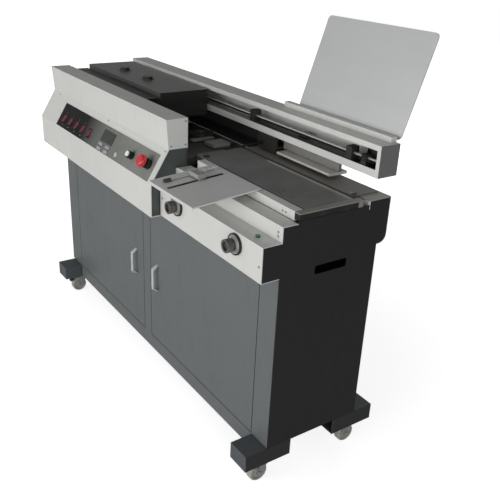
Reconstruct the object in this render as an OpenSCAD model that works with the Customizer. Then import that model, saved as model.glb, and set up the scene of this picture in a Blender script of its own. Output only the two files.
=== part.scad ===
// Floor-standing perfect binding machine: a sheet-steel cabinet on four castors, a stepped
// white front, a control head at the left, and a guide beam along the back that carries the
// book clamp over the milling, gluing and nipping stations.
// X runs along the machine to the right, Y to the back and Z up. The floor is at z = 0.

/* [Cabinet] */
// Length between the outer faces of the two end panels
cab_len = 1440; // [1380:10:1500]
// Depth from the door faces to the back panel
cab_depth = 326; // [316:2:340]
// Height of the door section, from the foot tops to the lower edge of the white front
cab_h = 532; // [500:4:560]
// Thickness of the bent cover sheets
sheet = 2; // [1.5:0.5:2.5]
// Thickness of the end panels
panel_t = 3; // [2.5:0.5:4]
// Width of the front post at the left
post_left = 97; // [85:1:105]
// Width of the post between the doors
post_mid = 56; // [50:1:66]
// Width of the front post at the right
post_right = 82; // [75:1:92]
// Depth of the front posts and rails
post_d = 30; // [26:1:36]
// Thickness of the folded doors
door_t = 18; // [16:1:22]
// Running gap round the doors
door_gap = 3; // [2.5:0.5:4]
// Length of the door handles
handle_len = 100; // [80:5:120]
// Width of the hand slot in each end panel
slot_len = 108; // [96:2:120]
// Height of the hand slot in each end panel
slot_h = 25; // [22:1:30]

/* [Feet and castors] */
// Height of the castors
castor_h = 80; // [78:1:90]
// Diameter of the castor wheels
wheel_d = 60; // [56:1:61]
// Width of the castor tread
wheel_w = 24; // [20:1:26]
// Offset of the wheel axle from the swivel axis
castor_trail = 20; // [16:1:24]
// Height of the feet
foot_h = 52; // [46:1:60]
// Width of the feet
foot_w = 77; // [72:1:84]
// Length of the feet
foot_len = 155; // [145:5:170]
// How far the feet stand out in front of and behind the cabinet
foot_toe = 72; // [60:2:80]

/* [White front and table] */
// How far the white front stands ahead of the doors
fascia_proud = 57; // [50:1:64]
// Height of the front face
fascia_h = 98; // [92:1:110]
// Rise from the first ledge to the second
step_rise = 42; // [38:1:46]
// Depth of the second ledge
ledge_d = 47; // [44:1:52]
// Rise from the second ledge to the nipping table
table_rise = 25; // [22:1:28]
// Length of the nipping table
nip_len = 523; // [480:5:540]
// Depth of the nipping table
nip_depth = 162; // [150:1:164]
// Travel of the nipping table towards its rear jaw
nip_travel = 8; // [4:1:9]
// Width of the cover table
cover_w = 235; // [200:5:240]
// Depth of the cover table
cover_depth = 208; // [184:4:216]
// Slope of the cover table, lower at the front
cover_tilt = 5; // [3:1:6]
// Diameter of the knob barrels
knob_d = 36; // [30:1:40]
// Length of the knobs
knob_len = 22; // [20:1:30]
// Diameter of the screws that the knobs turn
screw_d = 12; // [10:1:14]

/* [Control head] */
// Length of the control head
head_len = 930; // [900:5:950]
// How far the head reaches past the left end panel
head_over = 10; // [6:1:16]
// How far the head stands ahead of the white front
head_proud = 31; // [26:1:36]
// Height of the upright face under the slope
head_low_h = 104; // [98:1:110]
// Run of the sloping face, front to back
slope_run = 59; // [54:1:64]
// Rise of the sloping face
slope_rise = 96; // [94:1:104]
// Height of the upper box of the head
head_top_h = 89; // [80:1:100]
// Wall of the head cover
head_wall = 2.5; // [2:0.5:3]
// Length of the control panel
panel_len = 744; // [735:1:780]
// Distance between the rocker switches
rocker_pitch = 57; // [48:1:58]
// Diameter of the emergency stop button
stop_d = 40; // [36:1:42]

/* [Guide beam and clamp] */
// Height of the beam section
beam_h = 86; // [84:1:96]
// Depth of the beam section
beam_d = 67; // [66:1:74]
// Clear height from the nipping table to the beam
beam_lift = 51; // [49:1:60]
// Wall of the beam
beam_t = 3; // [2:0.5:4]
// Diameter of the chrome guide rod
rod_d = 12; // [10:1:14]
// Radial running clearance of rods, pins and shafts
run_fit = 0.05; // [0.03:0.01:0.08]
// Length of the clamp carriage
carriage_len = 479; // [440:1:500]
// Travel of the clamp carriage along the beam
carriage_travel = 780; // [700:10:800]
// Forward stroke of the clamp jaw
jaw_stroke = 16; // [10:1:18]
// Diameter of the belt pulleys
pulley_d = 38; // [34:1:40]
// Width of the leaning sheet support
support_w = 425; // [380:5:440]
// Length of the leaning sheet support, along its slope
support_len = 280; // [240:5:320]
// Lean of the sheet support from upright
support_lean = 19; // [12:1:24]

/* [Hidden] */
$fn = 48;
eps = 0.01;
// Least gap between pieces that move past each other
gap = 0.3;

// Lengthwise places. The head's overhang at the left is part of the whole length.
x_head_l = -(cab_len + head_over) / 2;
x_l = x_head_l + head_over;
x_r = x_l + cab_len;
x_head_r = x_head_l + head_len;
x_in_l = x_l + panel_t;
x_in_r = x_r - panel_t;

// Heights
z_base = castor_h + foot_h;
z_fascia = z_base + cab_h;
z_ledge1 = z_fascia + fascia_h;
z_ledge2 = z_ledge1 + step_rise;
z_table = z_ledge2 + table_rise;
z_rear = z_table - 6;
z_beam = z_table + beam_lift;
z_beam_top = z_beam + beam_h;

// Depthwise places, from the door faces, centred so that the whole depth straddles y = 0
rear_over = 33;
beam_set_in = 27;
bar_d = 26;
bar_set = 3;
cover_t = 4;
cover_lap = 14;
support_set = 7;
support_t = 2.5;
cover_reach = cover_depth * cos(cover_tilt) + cover_t * sin(cover_tilt) - ledge_d - bar_set - cover_lap;
back_reach = cab_depth - beam_set_in + beam_d + support_set
    + support_t * cos(support_lean) + support_len * sin(support_lean);
y_cab = (cover_reach - back_reach) / 2;
y_back = y_cab + cab_depth;
y_fascia = y_cab - fascia_proud;
y_ledge2 = y_cab + ledge_d;
y_rear = y_back + rear_over;
y_lip = y_back - 44;
y_beam = y_back - beam_set_in;
y_beam_b = y_beam + beam_d;

// Turns a flat outline in Y and Z into a bar along X
module along_x(x0, x1) {
    translate([x0, 0, 0]) rotate([90, 0, 90]) linear_extrude(x1 - x0) children();
}

// Turns a flat outline in X and Z into a bar along Y
module along_y(y0, y1) {
    translate([0, y1, 0]) rotate([90, 0, 0]) linear_extrude(y1 - y0) children();
}

// A box between two corners
module block(a, b) {
    translate(a) cube(b - a);
}

// A round bar along Y or X from a point
module rod_y(x, y0, y1, z, d) {
    translate([x, y0, z]) rotate([-90, 0, 0]) cylinder(d = d, h = y1 - y0);
}
module rod_x(x0, x1, y, z, d) {
    translate([x0, y, z]) rotate([0, 90, 0]) cylinder(d = d, h = x1 - x0);
}

// Rounded rectangle, w by h, centred
module round_rect(w, h, r) {
    square([w - 2 * r, h], center = true);
    square([w, h - 2 * r], center = true);
    for (sx = [-1, 1]) for (sy = [-1, 1])
        translate([sx * (w / 2 - r), sy * (h / 2 - r)]) circle(r);
}

// The path moved sideways by t to its left, with mitred corners
function unit(v) = v / norm(v);
function left_of(u) = [-u.y, u.x];
function shifted(p, t, closed = false) = let (n = len(p)) [
    for (i = [0:n - 1]) let (
        b = p[i],
        u = i > 0 || closed ? unit(b - p[(i + n - 1) % n]) : unit(p[1] - b),
        v = i < n - 1 || closed ? unit(p[(i + 1) % n] - b) : u,
        m = left_of(u) + left_of(v)
    ) b + m * t / (1 + left_of(u) * left_of(v))
];
function backwards(p) = [for (i = [len(p) - 1:-1:0]) p[i]];
// A bent sheet: the path and its other face
function strip(p, t) = concat(p, backwards(shifted(p, t)));
// Points of a quarter turn about c
function arc(c, r, a0, a1, n = 6) = [
    for (i = [0:n]) let (a = a0 + (a1 - a0) * i / n) c + r * [cos(a), sin(a)]
];

// ---- Feet, castors and frame ----

foot_in = 11.5;
foot_xs = [x_l + foot_in + foot_w / 2, x_r - foot_w / 2];
foot_ys = [y_cab - foot_toe + foot_len / 2, y_back + foot_toe - foot_len / 2];
tube_t = 3;

module foot(x, y, toe) {
    translate([x, y, castor_h]) difference() {
        translate([0, 0, foot_h / 2]) cube([foot_w, foot_len, foot_h], center = true);
        translate([0, -toe * tube_t, foot_h / 2])
            cube([foot_w - 2 * tube_t, foot_len, foot_h - 2 * tube_t], center = true);
    }
}

module feet() {
    color("dimgray")
    for (x = foot_xs) {
        foot(x, foot_ys[0], -1);
        foot(x, foot_ys[1], 1);
    }
}

plinth_h = 50;
x_plinth_l = foot_xs[0] + foot_w / 2;
x_plinth_r = foot_xs[1] - foot_w / 2;
rail_h = 12;
pin_d = 5;
pin_in = 6;
pin_len = 9;
x_door_l0 = x_l + post_left;
x_door_r1 = x_r - post_right;
x_mid = x_door_l0 + (x_door_r1 - x_door_l0) * 0.487;
x_door_l1 = x_mid - post_mid / 2;
x_door_r0 = x_mid + post_mid / 2;
z_rail = z_fascia - rail_h;
z_door0 = z_base + door_gap;
z_door1 = z_rail - door_gap;
door_pivots = [x_door_l0 + pin_in, x_door_r1 - pin_in];
y_pivot = y_cab + pin_in;

module frame_rails() {
    color("dimgray") {
        block([x_plinth_l, y_cab, z_base - plinth_h], [x_plinth_r, y_cab + post_d, z_base]);
        block([x_plinth_l, y_back - post_d, z_base - plinth_h], [x_plinth_r, y_back, z_base]);
        block([x_in_l, y_cab, z_rail], [x_in_r, y_cab + post_d, z_fascia]);
        for (x = door_pivots) {
            translate([x, y_pivot, z_base - eps]) cylinder(d = pin_d, h = pin_len);
            translate([x, y_pivot, z_rail + eps - pin_len]) cylinder(d = pin_d, h = pin_len);
        }
    }
}

// A front post folded from sheet, open at the back
module post(x0, x1) {
    difference() {
        block([x0, y_cab, z_base], [x1, y_cab + post_d, z_rail]);
        block([x0 + sheet, y_cab + sheet, z_base + sheet], [x1 - sheet, y_cab + post_d + 1, z_rail - sheet]);
    }
}

module frame_posts() {
    color("slategray") {
        post(x_in_l, x_door_l0 - door_gap);
        post(x_door_l1 + door_gap, x_door_r0 - door_gap);
        post(x_door_r1 + door_gap, x_in_r);
    }
}

module floor_panel() {
    color("dimgray") block([x_in_l, y_cab + post_d, z_base], [x_in_r, y_back - sheet, z_base + sheet]);
}

castor_plate_t = 3;
race_h = 10;
race_d = 40;
crown_t = 3;
fork_gap = 1.5;
fork_t = 2.5;
axle_d = 8;
kingpin_d = 10;
castor_spots = [
    [foot_xs[0], foot_ys[0] + castor_trail / 2, -1], [foot_xs[1], foot_ys[0] + castor_trail / 2, -1],
    [foot_xs[0], foot_ys[1] - castor_trail / 2, 1], [foot_xs[1], foot_ys[1] - castor_trail / 2, 1]
];
z_axle = wheel_d / 2;
z_crown = castor_h - castor_plate_t - race_h;

module castor_plates() {
    color("silver")
    for (s = castor_spots) translate([s.x, s.y, castor_h - castor_plate_t]) {
        linear_extrude(castor_plate_t) round_rect(foot_w - 17, foot_w - 17, 6);
        translate([0, 0, -race_h / 2]) cylinder(d = race_d, h = race_h / 2 + eps);
        translate([0, 0, -race_h - crown_t - 1]) cylinder(d = kingpin_d, h = race_h + crown_t + 2);
    }
}

// Swivel fork: crown, race, and two cheeks that reach down to the axle
module castor_fork(i) {
    s = castor_spots[i];
    y_ax = s[2] * castor_trail;
    x_in = wheel_w / 2 + fork_gap;
    color("silver") translate([s.x, s.y, 0]) {
        difference() {
            union() {
                translate([0, 0, z_crown - crown_t]) cylinder(d = race_d, h = crown_t);
                translate([0, 0, z_crown - eps]) cylinder(d = race_d - 6, h = race_h / 2 - gap);
            }
            translate([0, 0, z_crown - crown_t - 1]) cylinder(r = kingpin_d / 2 + run_fit, h = race_h + crown_t);
        }
        for (side = [-1, 1]) along_x(side > 0 ? x_in : -x_in - fork_t, side > 0 ? x_in + fork_t : -x_in)
            polygon(concat(
                [[-race_d * 0.34, z_crown - crown_t / 2], [y_ax - 9, z_axle]],
                arc([y_ax, z_axle], 9, 180, 360, 8),
                [[race_d * 0.34, z_crown - crown_t / 2]]
            ));
        rod_x(-x_in - fork_t - 3, x_in + fork_t + 3, y_ax, z_axle, axle_d);
    }
}

// Wheel: tread with rounded shoulders, recessed web and hub
module castor_wheel(i) {
    s = castor_spots[i];
    r = wheel_d / 2;
    w = wheel_w / 2;
    bore = axle_d / 2 + run_fit;
    color("gray") translate([s.x, s.y + s[2] * castor_trail, z_axle]) rotate([0, 90, 0])
        rotate_extrude($fn = 96) polygon(concat(
            [[bore, -w], [11, -w], [13, -w + 4], [r - 9, -w + 4], [r - 7, -w]],
            arc([r - 5, -w + 5], 5, -90, 0, 4),
            arc([r - 5, w - 5], 5, 0, 90, 4),
            [[r - 7, w], [r - 9, w - 4], [13, w - 4], [11, w], [bore, w]]
        ));
}

// ---- Cabinet walls ----

// Outer face of the stepped white front, from its lower lip to the nipping table
fascia_path = [
    [y_cab - 1, z_fascia], [y_fascia, z_fascia], [y_fascia, z_ledge1], [y_cab, z_ledge1],
    [y_cab, z_ledge2], [y_ledge2, z_ledge2]
];
rear_r = 25;
lip_h = 24;
z_under = z_fascia + 27;
y_deck_f = y_fascia - head_proud + 123;
z_shoulder = z_table - 19;
hand_slot_y = y_cab + 167;

// Outline shared by both end panels behind the front steps
tuck = sheet + gap;
rear_outline = concat(
    [[y_lip - gap, z_shoulder], [y_lip - gap, z_rear - lip_h - gap], [y_lip + tuck, z_rear - lip_h - gap]],
    [[y_lip + tuck, z_rear - tuck], [y_rear - tuck, z_rear - tuck]],
    backwards(arc([y_rear - rear_r, z_under + rear_r], rear_r - tuck, -90, 0)),
    [[y_back, z_under + tuck], [y_back, z_base]]
);

module hand_slot(x0) {
    translate([x0 - 1, hand_slot_y, z_fascia - 1.5]) rotate([90, 0, 90])
        linear_extrude(panel_t + 2) round_rect(slot_len, slot_h, 6);
}

module right_end_panel() {
    inner = shifted(fascia_path, -sheet);
    color([0.13, 0.13, 0.13]) difference() {
        along_x(x_in_r, x_r) polygon(concat(
            [[y_cab, z_base], [y_cab, z_fascia + sheet]],
            [for (i = [1:5]) inner[i]],
            [[y_ledge2, z_shoulder]],
            rear_outline
        ));
        hand_slot(x_in_r);
    }
}

module left_end_panel() {
    color([0.13, 0.13, 0.13]) difference() {
        along_x(x_l, x_in_l) polygon(concat(
            [[y_cab, z_base], [y_cab, z_ledge2 - 4], [y_deck_f, z_ledge2 - 4], [y_deck_f, z_beam - 18]],
            [[y_lip - gap, z_beam - 18]],
            rear_outline
        ));
        hand_slot(x_l);
    }
}

vent_n = 9;
vent_pitch = 14;
vent_len = 140;
vent_h = 3;
inlet_x = x_r - 170;
inlet_z = z_base + 90;

module back_panel() {
    color("dimgray") difference() {
        block([x_in_l, y_back - sheet, z_base], [x_in_r, y_back, z_under]);
        for (x = [x_l + 260, x_r - 400]) for (i = [0:vent_n - 1])
            block([x, y_back - sheet - 1, z_fascia - 60 - i * vent_pitch],
                  [x + vent_len, y_back + 1, z_fascia - 60 - i * vent_pitch + vent_h]);
        block([inlet_x - 20, y_back - sheet - 1, inlet_z - 13], [inlet_x + 20, y_back + 1, inlet_z + 13]);
    }
}

// Inlet socket for a mains lead, set in the back panel
module mains_inlet() {
    color([0.08, 0.08, 0.08]) difference() {
        union() {
            translate([inlet_x, y_back + 3, inlet_z]) rotate([90, 0, 0])
                linear_extrude(3) round_rect(52, 32, 4);
            block([inlet_x - 19.8, y_back - 26, inlet_z - 12.8], [inlet_x + 19.8, y_back + eps, inlet_z + 12.8]);
        }
        block([inlet_x - 13, y_back - 18, inlet_z - 9], [inlet_x + 13, y_back + 4, inlet_z + 9]);
    }
}

// Rear cover: a bent sheet from the front lip over the ledge and down the overhang
module rear_cover() {
    path = concat(
        [[y_back, z_under]],
        arc([y_rear - rear_r, z_under + rear_r], rear_r, -90, 0),
        [[y_rear, z_rear], [y_lip, z_rear], [y_lip, z_rear - lip_h]]
    );
    color("gainsboro") along_x(x_l, x_r) polygon(strip(path, sheet));
}

// ---- Doors ----

// Folded door pan with a bored block at each hinge corner
module door(x0, x1, x_pin) {
    w0 = x_pin - 7;
    difference() {
        block([x0, y_cab, z_door0], [x1, y_cab + door_t, z_door1]);
        difference() {
            block([x0 + sheet, y_cab + sheet, z_door0 + sheet], [x1 - sheet, y_cab + door_t + 1, z_door1 - sheet]);
            for (z = [z_door0, z_door1 - 14]) block([w0, y_cab, z], [w0 + 14, y_cab + door_t, z + 14]);
        }
        for (z = [z_door0 - 1, z_door1 - 13])
            translate([x_pin, y_pivot, z]) cylinder(r = pin_d / 2 + run_fit, h = 14);
    }
}

module left_door() {
    color("slategray") door(x_door_l0, x_door_l1, door_pivots[0]);
}

module right_door() {
    color("slategray") door(x_door_r0, x_door_r1, door_pivots[1]);
}

z_handle = z_fascia - 286;

// Flat bar handle on two posts
module door_handle(x) {
    color("silver") {
        translate([x, y_cab - 16, z_handle]) rotate([90, 0, 0])
            linear_extrude(4) round_rect(12, handle_len, 5);
        for (s = [-1, 1]) rod_y(x, y_cab - 16 - eps, y_cab, z_handle + s * (handle_len / 2 - 12), 8);
    }
}

module left_door_handle() {
    door_handle(x_door_l1 - 54);
}

module right_door_handle() {
    door_handle(x_door_r0 + 46);
}

// ---- White front, knobs and tables ----

left_knob_x = x_head_r + 104;
right_knob_x = x_r - 116;
z_knob = z_ledge1 - 34;
bush_d = 58;
bush_t = 6;
stop_x = left_knob_x + 78;
y_stop = y_fascia + 28;
ledge_button_x = x_r - 61;
ledge_button_d = 12;
arm_slot = 12;

module front_fascia() {
    color("whitesmoke") difference() {
        along_x(x_head_r, x_r) polygon(strip(backwards(fascia_path), sheet));
        for (x = [left_knob_x, right_knob_x]) rod_y(x, y_fascia - 1, y_fascia + sheet + 1, z_knob, 24);
        translate([ledge_button_x, y_fascia + 28, z_ledge1 - sheet - 1])
            cylinder(d = ledge_button_d + 2 * gap, h = sheet + 2);
        block([stop_x - arm_slot / 2, y_fascia + 6, z_ledge1 - sheet - 1],
              [stop_x + arm_slot / 2, y_cab - 5, z_ledge1 + 1]);
    }
}

module knob_bushes() {
    color("silver")
    for (x = [left_knob_x, right_knob_x]) difference() {
        union() {
            rod_y(x, y_fascia - bush_t, y_fascia, z_knob, bush_d);
            rod_y(x, y_fascia - bush_t - 4, y_fascia - bush_t + eps, z_knob, bush_d - 16);
            rod_y(x, y_fascia - eps, y_fascia + 14, z_knob, 23.6);
        }
        rod_y(x, y_fascia - bush_t - 5, y_fascia + 15, z_knob, screw_d + 2 * run_fit);
    }
}

// Knurled barrel on its screw
module knob(x, y_end) {
    y_face = y_fascia - bush_t - 4 - gap;
    flutes = 24;
    color("darkgray") difference() {
        union() {
            rod_y(x, y_face - 6, y_face, z_knob, knob_d - 6);
            rod_y(x, y_face - knob_len, y_face - 6 + eps, z_knob, knob_d);
            rod_y(x, y_face - eps, y_end, z_knob, screw_d);
        }
        for (i = [0:flutes - 1]) translate([x, 0, z_knob]) rotate([0, i * 360 / flutes, 0])
            rod_y(knob_d / 2 + 0.6, y_face - knob_len + 2, y_face - 8, 0, 3);
        rod_y(x, y_face - knob_len - 1, y_face - knob_len + 6, z_knob, knob_d - 12);
    }
}

module left_knob() {
    knob(left_knob_x, y_stop + 24);
}

module right_knob() {
    knob(right_knob_x, y_nip0 + 60);
}

module ledge_button() {
    color("seagreen") translate([ledge_button_x, y_fascia + 28, z_ledge1 - 14]) {
        cylinder(d = ledge_button_d, h = 20);
        cylinder(d = ledge_button_d + 4, h = 4);
    }
}

y_bar0 = y_ledge2 + bar_set;
nip_gap = 5;
y_nip0 = y_bar0 + bar_d + nip_gap;
y_nip1 = y_nip0 + nip_depth;
x_nip1 = x_r - 22;
x_nip0 = x_nip1 - nip_len;
nip_t = 6;
nut_h = 30;

// The sloping cover table rests with its rear edge on the front bar of the nipping table
x_cover = x_head_r + 100;
cover_slot_w = 9;
cover_slot_len = 172;
cover_slot_in = 14;
ruler_d = 5;
ruler_set = 44;
y_cover_rear = y_bar0 + cover_lap;
z_cover_rear = z_table + gap + cover_lap * tan(cover_tilt);

module on_cover_table() {
    translate([x_cover, y_cover_rear, z_cover_rear]) rotate([cover_tilt, 0, 0]) children();
}

module cover_table() {
    slot_x = stop_x - x_cover;
    color("darkgray") difference() {
        on_cover_table() difference() {
            translate([0, -cover_depth, 0]) union() {
                cube([cover_w, cover_depth, cover_t]);
                translate([0, 0, -6]) cube([cover_w, 2, 6 + eps]);
            }
            translate([slot_x - cover_slot_w / 2, -cover_depth + cover_slot_in, -7])
                cube([cover_slot_w, cover_slot_len, 20]);
        }
    }
    // Bright setting rod beside the slot, on three posts
    y_ruler = y_stop + 38 - y_cover_rear;
    color("darkgray") on_cover_table() {
        rod_y(slot_x - ruler_set, y_ruler, -16, cover_t + 5, ruler_d);
        for (y = [y_ruler, y_ruler * 0.36, -22]) translate([slot_x - ruler_set - 4, y, cover_t - eps])
            cube([8, 6, 8.5]);
    }
    // Two brackets hold the table to the second ledge
    color("darkgray") for (x = [x_cover + 8, x_cover + cover_w - 70]) difference() {
        block([x, y_cab + 6, z_ledge2], [x + 16, y_ledge2 - 6, z_table]);
        on_cover_table() translate([-500, -400, eps]) cube([1000, 800, 100]);
    }
}

// Cover stop: a block on the table, an arm through the slot and a nut on the left screw
module cover_stop() {
    z_top = z_cover_rear - (y_cover_rear - y_stop) * tan(cover_tilt);
    color("dimgray") difference() {
        union() {
            block([left_knob_x - 14, y_stop - 8, z_knob - 13], [stop_x + 4, y_stop + 8, z_knob + 13]);
            block([stop_x - 3.5, y_stop - 5, z_knob], [stop_x + 3.5, y_stop + 5, z_top + 14]);
            block([stop_x - 40, y_stop - 12, z_top + 8], [stop_x + 6, y_stop + 12, z_top + 20]);
        }
        rod_y(left_knob_x, y_stop - 10, y_stop + 10, z_knob, screw_d + 2 * run_fit);
    }
}

module nip_table() {
    color([0.3, 0.3, 0.3]) difference() {
        union() {
            block([x_nip0, y_nip0, z_table - nip_t], [x_nip1, y_nip1, z_table]);
            for (x = [x_nip0, x_nip1 - 3])
                block([x, y_nip0, z_table - 18], [x + 3, y_nip1, z_table - nip_t + eps]);
            block([right_knob_x - 10, y_nip0 + 20, z_knob - 14], [right_knob_x + 10, y_nip0 + 34, z_table - 1]);
        }
        rod_y(right_knob_x, y_nip0 + 18, y_nip0 + 36, z_knob, screw_d + 2 * run_fit);
        // Stop pin holes
        for (h = [[131, 18], [131, 36], [82, 30]])
            translate([x_nip1 - h.x, y_nip0 + h.y, z_table - nip_t - 1]) cylinder(d = 6, h = nip_t + 2);
    }
}

// Fixed bars in front of and behind the nipping table
module nip_bars() {
    color("lightgray") {
        block([x_nip0 + 58, y_bar0, z_ledge2], [x_nip1, y_bar0 + bar_d, z_table]);
        block([x_nip0, y_lip - 22, z_rear - lip_h], [x_nip1, y_lip - gap, z_rear]);
    }
}

// ---- Control head ----

z_head = z_fascia - 3;
z_slope = z_head + head_low_h;
z_box = z_slope + slope_rise;
z_head_top = z_box + head_top_h;
y_head = y_fascia - head_proud;
y_slope = y_head + slope_run;
slant = atan(slope_run / slope_rise);
slope_len = norm([slope_run, slope_rise]);
head_outline = [
    [y_head, z_head], [y_cab, z_head], [y_cab, z_ledge2 - 4], [y_deck_f, z_ledge2 - 4],
    [y_deck_f, z_head_top], [y_slope - 7, z_head_top], [y_slope, z_box], [y_head, z_slope]
];

// Local frame of the sloping face: X along it, Y up the slope, Z out of it
module on_slope(x, s, h = 0) {
    translate([x, y_head, z_slope]) rotate([90 - slant, 0, 0]) translate([0, s, h]) children();
}

x_panel = x_head_r - 26 - panel_len;
panel_h = 88;
panel_s = 1;
panel_rim = 2;
panel_plate_t = 3;
end_set_in = 4;
under_wall_in = 425;

module head_cover() {
    core = shifted(head_outline, head_wall, true);
    color("whitesmoke") difference() {
        union() {
            along_x(x_head_l, x_head_r) difference() {
                polygon(head_outline);
                polygon(core);
            }
            for (x = [x_head_l, x_head_r - head_wall]) along_x(x, x + head_wall) polygon([
                [y_slope, z_box], [y_deck_f, z_box], [y_deck_f, z_head_top], [y_slope - 7, z_head_top]
            ]);
        }
        on_slope(x_panel + panel_rim, panel_s + panel_rim, -20)
            cube([panel_len - 2 * panel_rim, panel_h - 2 * panel_rim, 40]);
    }
}

// Dark steel plates: the two lower ends of the head, the rail behind its top, and the wall
// that closes the gap between the rear ledge and the beam
module head_plates() {
    core = shifted(head_outline, head_wall, true);
    color([0.18, 0.2, 0.2]) {
        for (x = [x_head_l + end_set_in, x_head_r - end_set_in - sheet]) along_x(x, x + sheet)
            intersection() {
                polygon(core);
                polygon([[y_head, z_head], [y_deck_f, z_head], [y_deck_f, z_box - eps], [y_head, z_box - eps]]);
            }
        along_x(x_hood0, x_hood1) polygon(strip(
            [[y_deck_f, z_rail_h - 20], [y_deck_f, z_rail_h], [y_hood_f - 7, z_rail_h]], -sheet));
        block([x_beam_l, y_rear - panel_t, z_rear], [x_r - under_wall_in, y_rear, z_beam]);
    }
}

rocker_w = 20;
rocker_h = 30;
rocker_x0 = x_panel + 47;
rocker_s = 35;
rocker_pin_d = 3;
window_w = 80;
window_h = 34;
window_x = x_panel + 415;
window_s = 56;
lamp_x = x_panel + 508;
lamp_s = 20;
lamp_d = 14;
key_w = 28;
key_h = 10;
key_xs = [x_panel + 386, x_panel + 438];
key_ss = [25, 9];
start_x = x_panel + 604;
start_s = 44;
start_d = 18;
stop_px = x_panel + 712;
stop_s = 48;
barrel_d = 24;
stop_barrel_d = 32;
stem_d = 12;

module control_panel() {
    color("gray") difference() {
        union() {
            on_slope(x_panel, panel_s, 0) cube([panel_len, panel_h, panel_plate_t / 2]);
            on_slope(x_panel + panel_rim + gap, panel_s + panel_rim + gap, -panel_plate_t / 2)
                cube([panel_len - 2 * (panel_rim + gap), panel_h - 2 * (panel_rim + gap), panel_plate_t / 2 + eps]);
        }
        for (i = [0:4]) on_slope(rocker_x0 + i * rocker_pitch, rocker_s, -10)
            translate([-rocker_w / 2 - gap, -rocker_h / 2 - gap, 0]) cube([rocker_w + 2 * gap, rocker_h + 2 * gap, 20]);
        on_slope(window_x - window_w / 2, window_s - window_h / 2, -10) cube([window_w, window_h, 20]);
        for (x = key_xs) for (s = key_ss) on_slope(x - key_w / 2 - gap, s - key_h / 2 - gap, -10)
            cube([key_w + 2 * gap, key_h + 2 * gap, 20]);
        on_slope(lamp_x, lamp_s, -10) cylinder(d = lamp_d, h = 20);
        on_slope(start_x, start_s, -10) cylinder(d = barrel_d - 4, h = 20);
        on_slope(stop_px, stop_s, -10) cylinder(d = stop_barrel_d - 8, h = 20);
    }
    // Pins that the rocker switches tilt on
    color("gray") for (i = [0:4]) on_slope(rocker_x0 + i * rocker_pitch, rocker_s, 0)
        rod_x(-rocker_w / 2 - gap - 1, rocker_w / 2 + gap + 1, 0, 0, rocker_pin_d);
}

// Rocker switch bored for its pin, one end standing proud
module rocker(i) {
    color("firebrick") on_slope(rocker_x0 + i * rocker_pitch, rocker_s, 0) difference() {
        rotate([0, 90, 0]) translate([0, 0, -rocker_w / 2]) linear_extrude(rocker_w) polygon([
            [6, -rocker_h / 2 + 6], [6, rocker_h / 2 - 6], [-1.6, rocker_h / 2 - 1],
            [-3.4, 0], [-5.6, -rocker_h / 2 + 2]
        ]);
        rod_x(-rocker_w / 2 - 1, rocker_w / 2 + 1, 0, 0, rocker_pin_d + 2 * run_fit);
    }
}

// Display window and pilot lamp
module panel_windows() {
    color("darkolivegreen") {
        on_slope(window_x - window_w / 2, window_s - window_h / 2, -panel_plate_t) cube([window_w, window_h, 3.6]);
        on_slope(window_x - window_w / 2 - 3, window_s - window_h / 2 - 3, 1.5)
            cube([window_w + 6, window_h + 6, 0.8]);
    }
    color("honeydew") on_slope(lamp_x, lamp_s, -panel_plate_t) {
        cylinder(d = lamp_d, h = panel_plate_t + 4);
        translate([0, 0, panel_plate_t + 1.5]) cylinder(d = lamp_d + 3, h = 1);
    }
}

module panel_key(i) {
    color("lightgray") on_slope(key_xs[i % 2] - key_w / 2, key_ss[floor(i / 2)] - key_h / 2, -4)
        cube([key_w, key_h, 7.5]);
}

module start_button() {
    color("white") on_slope(start_x, start_s, 0) {
        translate([0, 0, 8]) cylinder(d = start_d, h = 15);
        translate([0, 0, -12]) cylinder(d = stem_d, h = 21);
    }
}

// Mushroom head on its stem
module stop_button() {
    r = stop_d / 2;
    color("red") on_slope(stop_px, stop_s, 0) {
        rotate_extrude($fn = 64) polygon(concat(
            [[0, 24], [r - 2, 24]], arc([r - 2, 26], 2, -90, 0, 3), arc([r - 8, 32], 8, 0, 90, 6), [[0, 40]]));
        translate([0, 0, -12]) cylinder(d = stem_d, h = 37);
    }
}

// Black barrels that carry the start and stop buttons
module button_barrels() {
    color([0.06, 0.06, 0.06]) {
        on_slope(start_x, start_s, 0) difference() {
            union() {
                translate([0, 0, 1.5]) cylinder(d = barrel_d, h = 18);
                translate([0, 0, -16]) cylinder(d = barrel_d - 4 - 2 * run_fit, h = 18);
            }
            translate([0, 0, 5]) cylinder(d = start_d + 2 * gap, h = 20);
            translate([0, 0, -17]) cylinder(d = stem_d + 2 * run_fit, h = 30);
        }
        on_slope(stop_px, stop_s, 0) difference() {
            union() {
                translate([0, 0, 1.5]) cylinder(d = stop_barrel_d, h = 15);
                translate([0, 0, -16]) cylinder(d = stop_barrel_d - 8 - 2 * run_fit, h = 18);
            }
            translate([0, 0, -17]) cylinder(d = stem_d + 2 * run_fit, h = 50);
        }
    }
}

// ---- Guide beam, carriage and clamp ----

deck_gap = 13;
mill_len = 362;
cutter_in = 207;
roller_in = 170;
hood_in = 20;
hood_lap = 95;
hood_knob_in = 169;
hood_knob_pitch = 190;
x_deck = x_nip0 - deck_gap;
x_step = x_deck - mill_len;
x_hood0 = x_l + hood_in;
x_hood1 = x_step + hood_lap;

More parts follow.
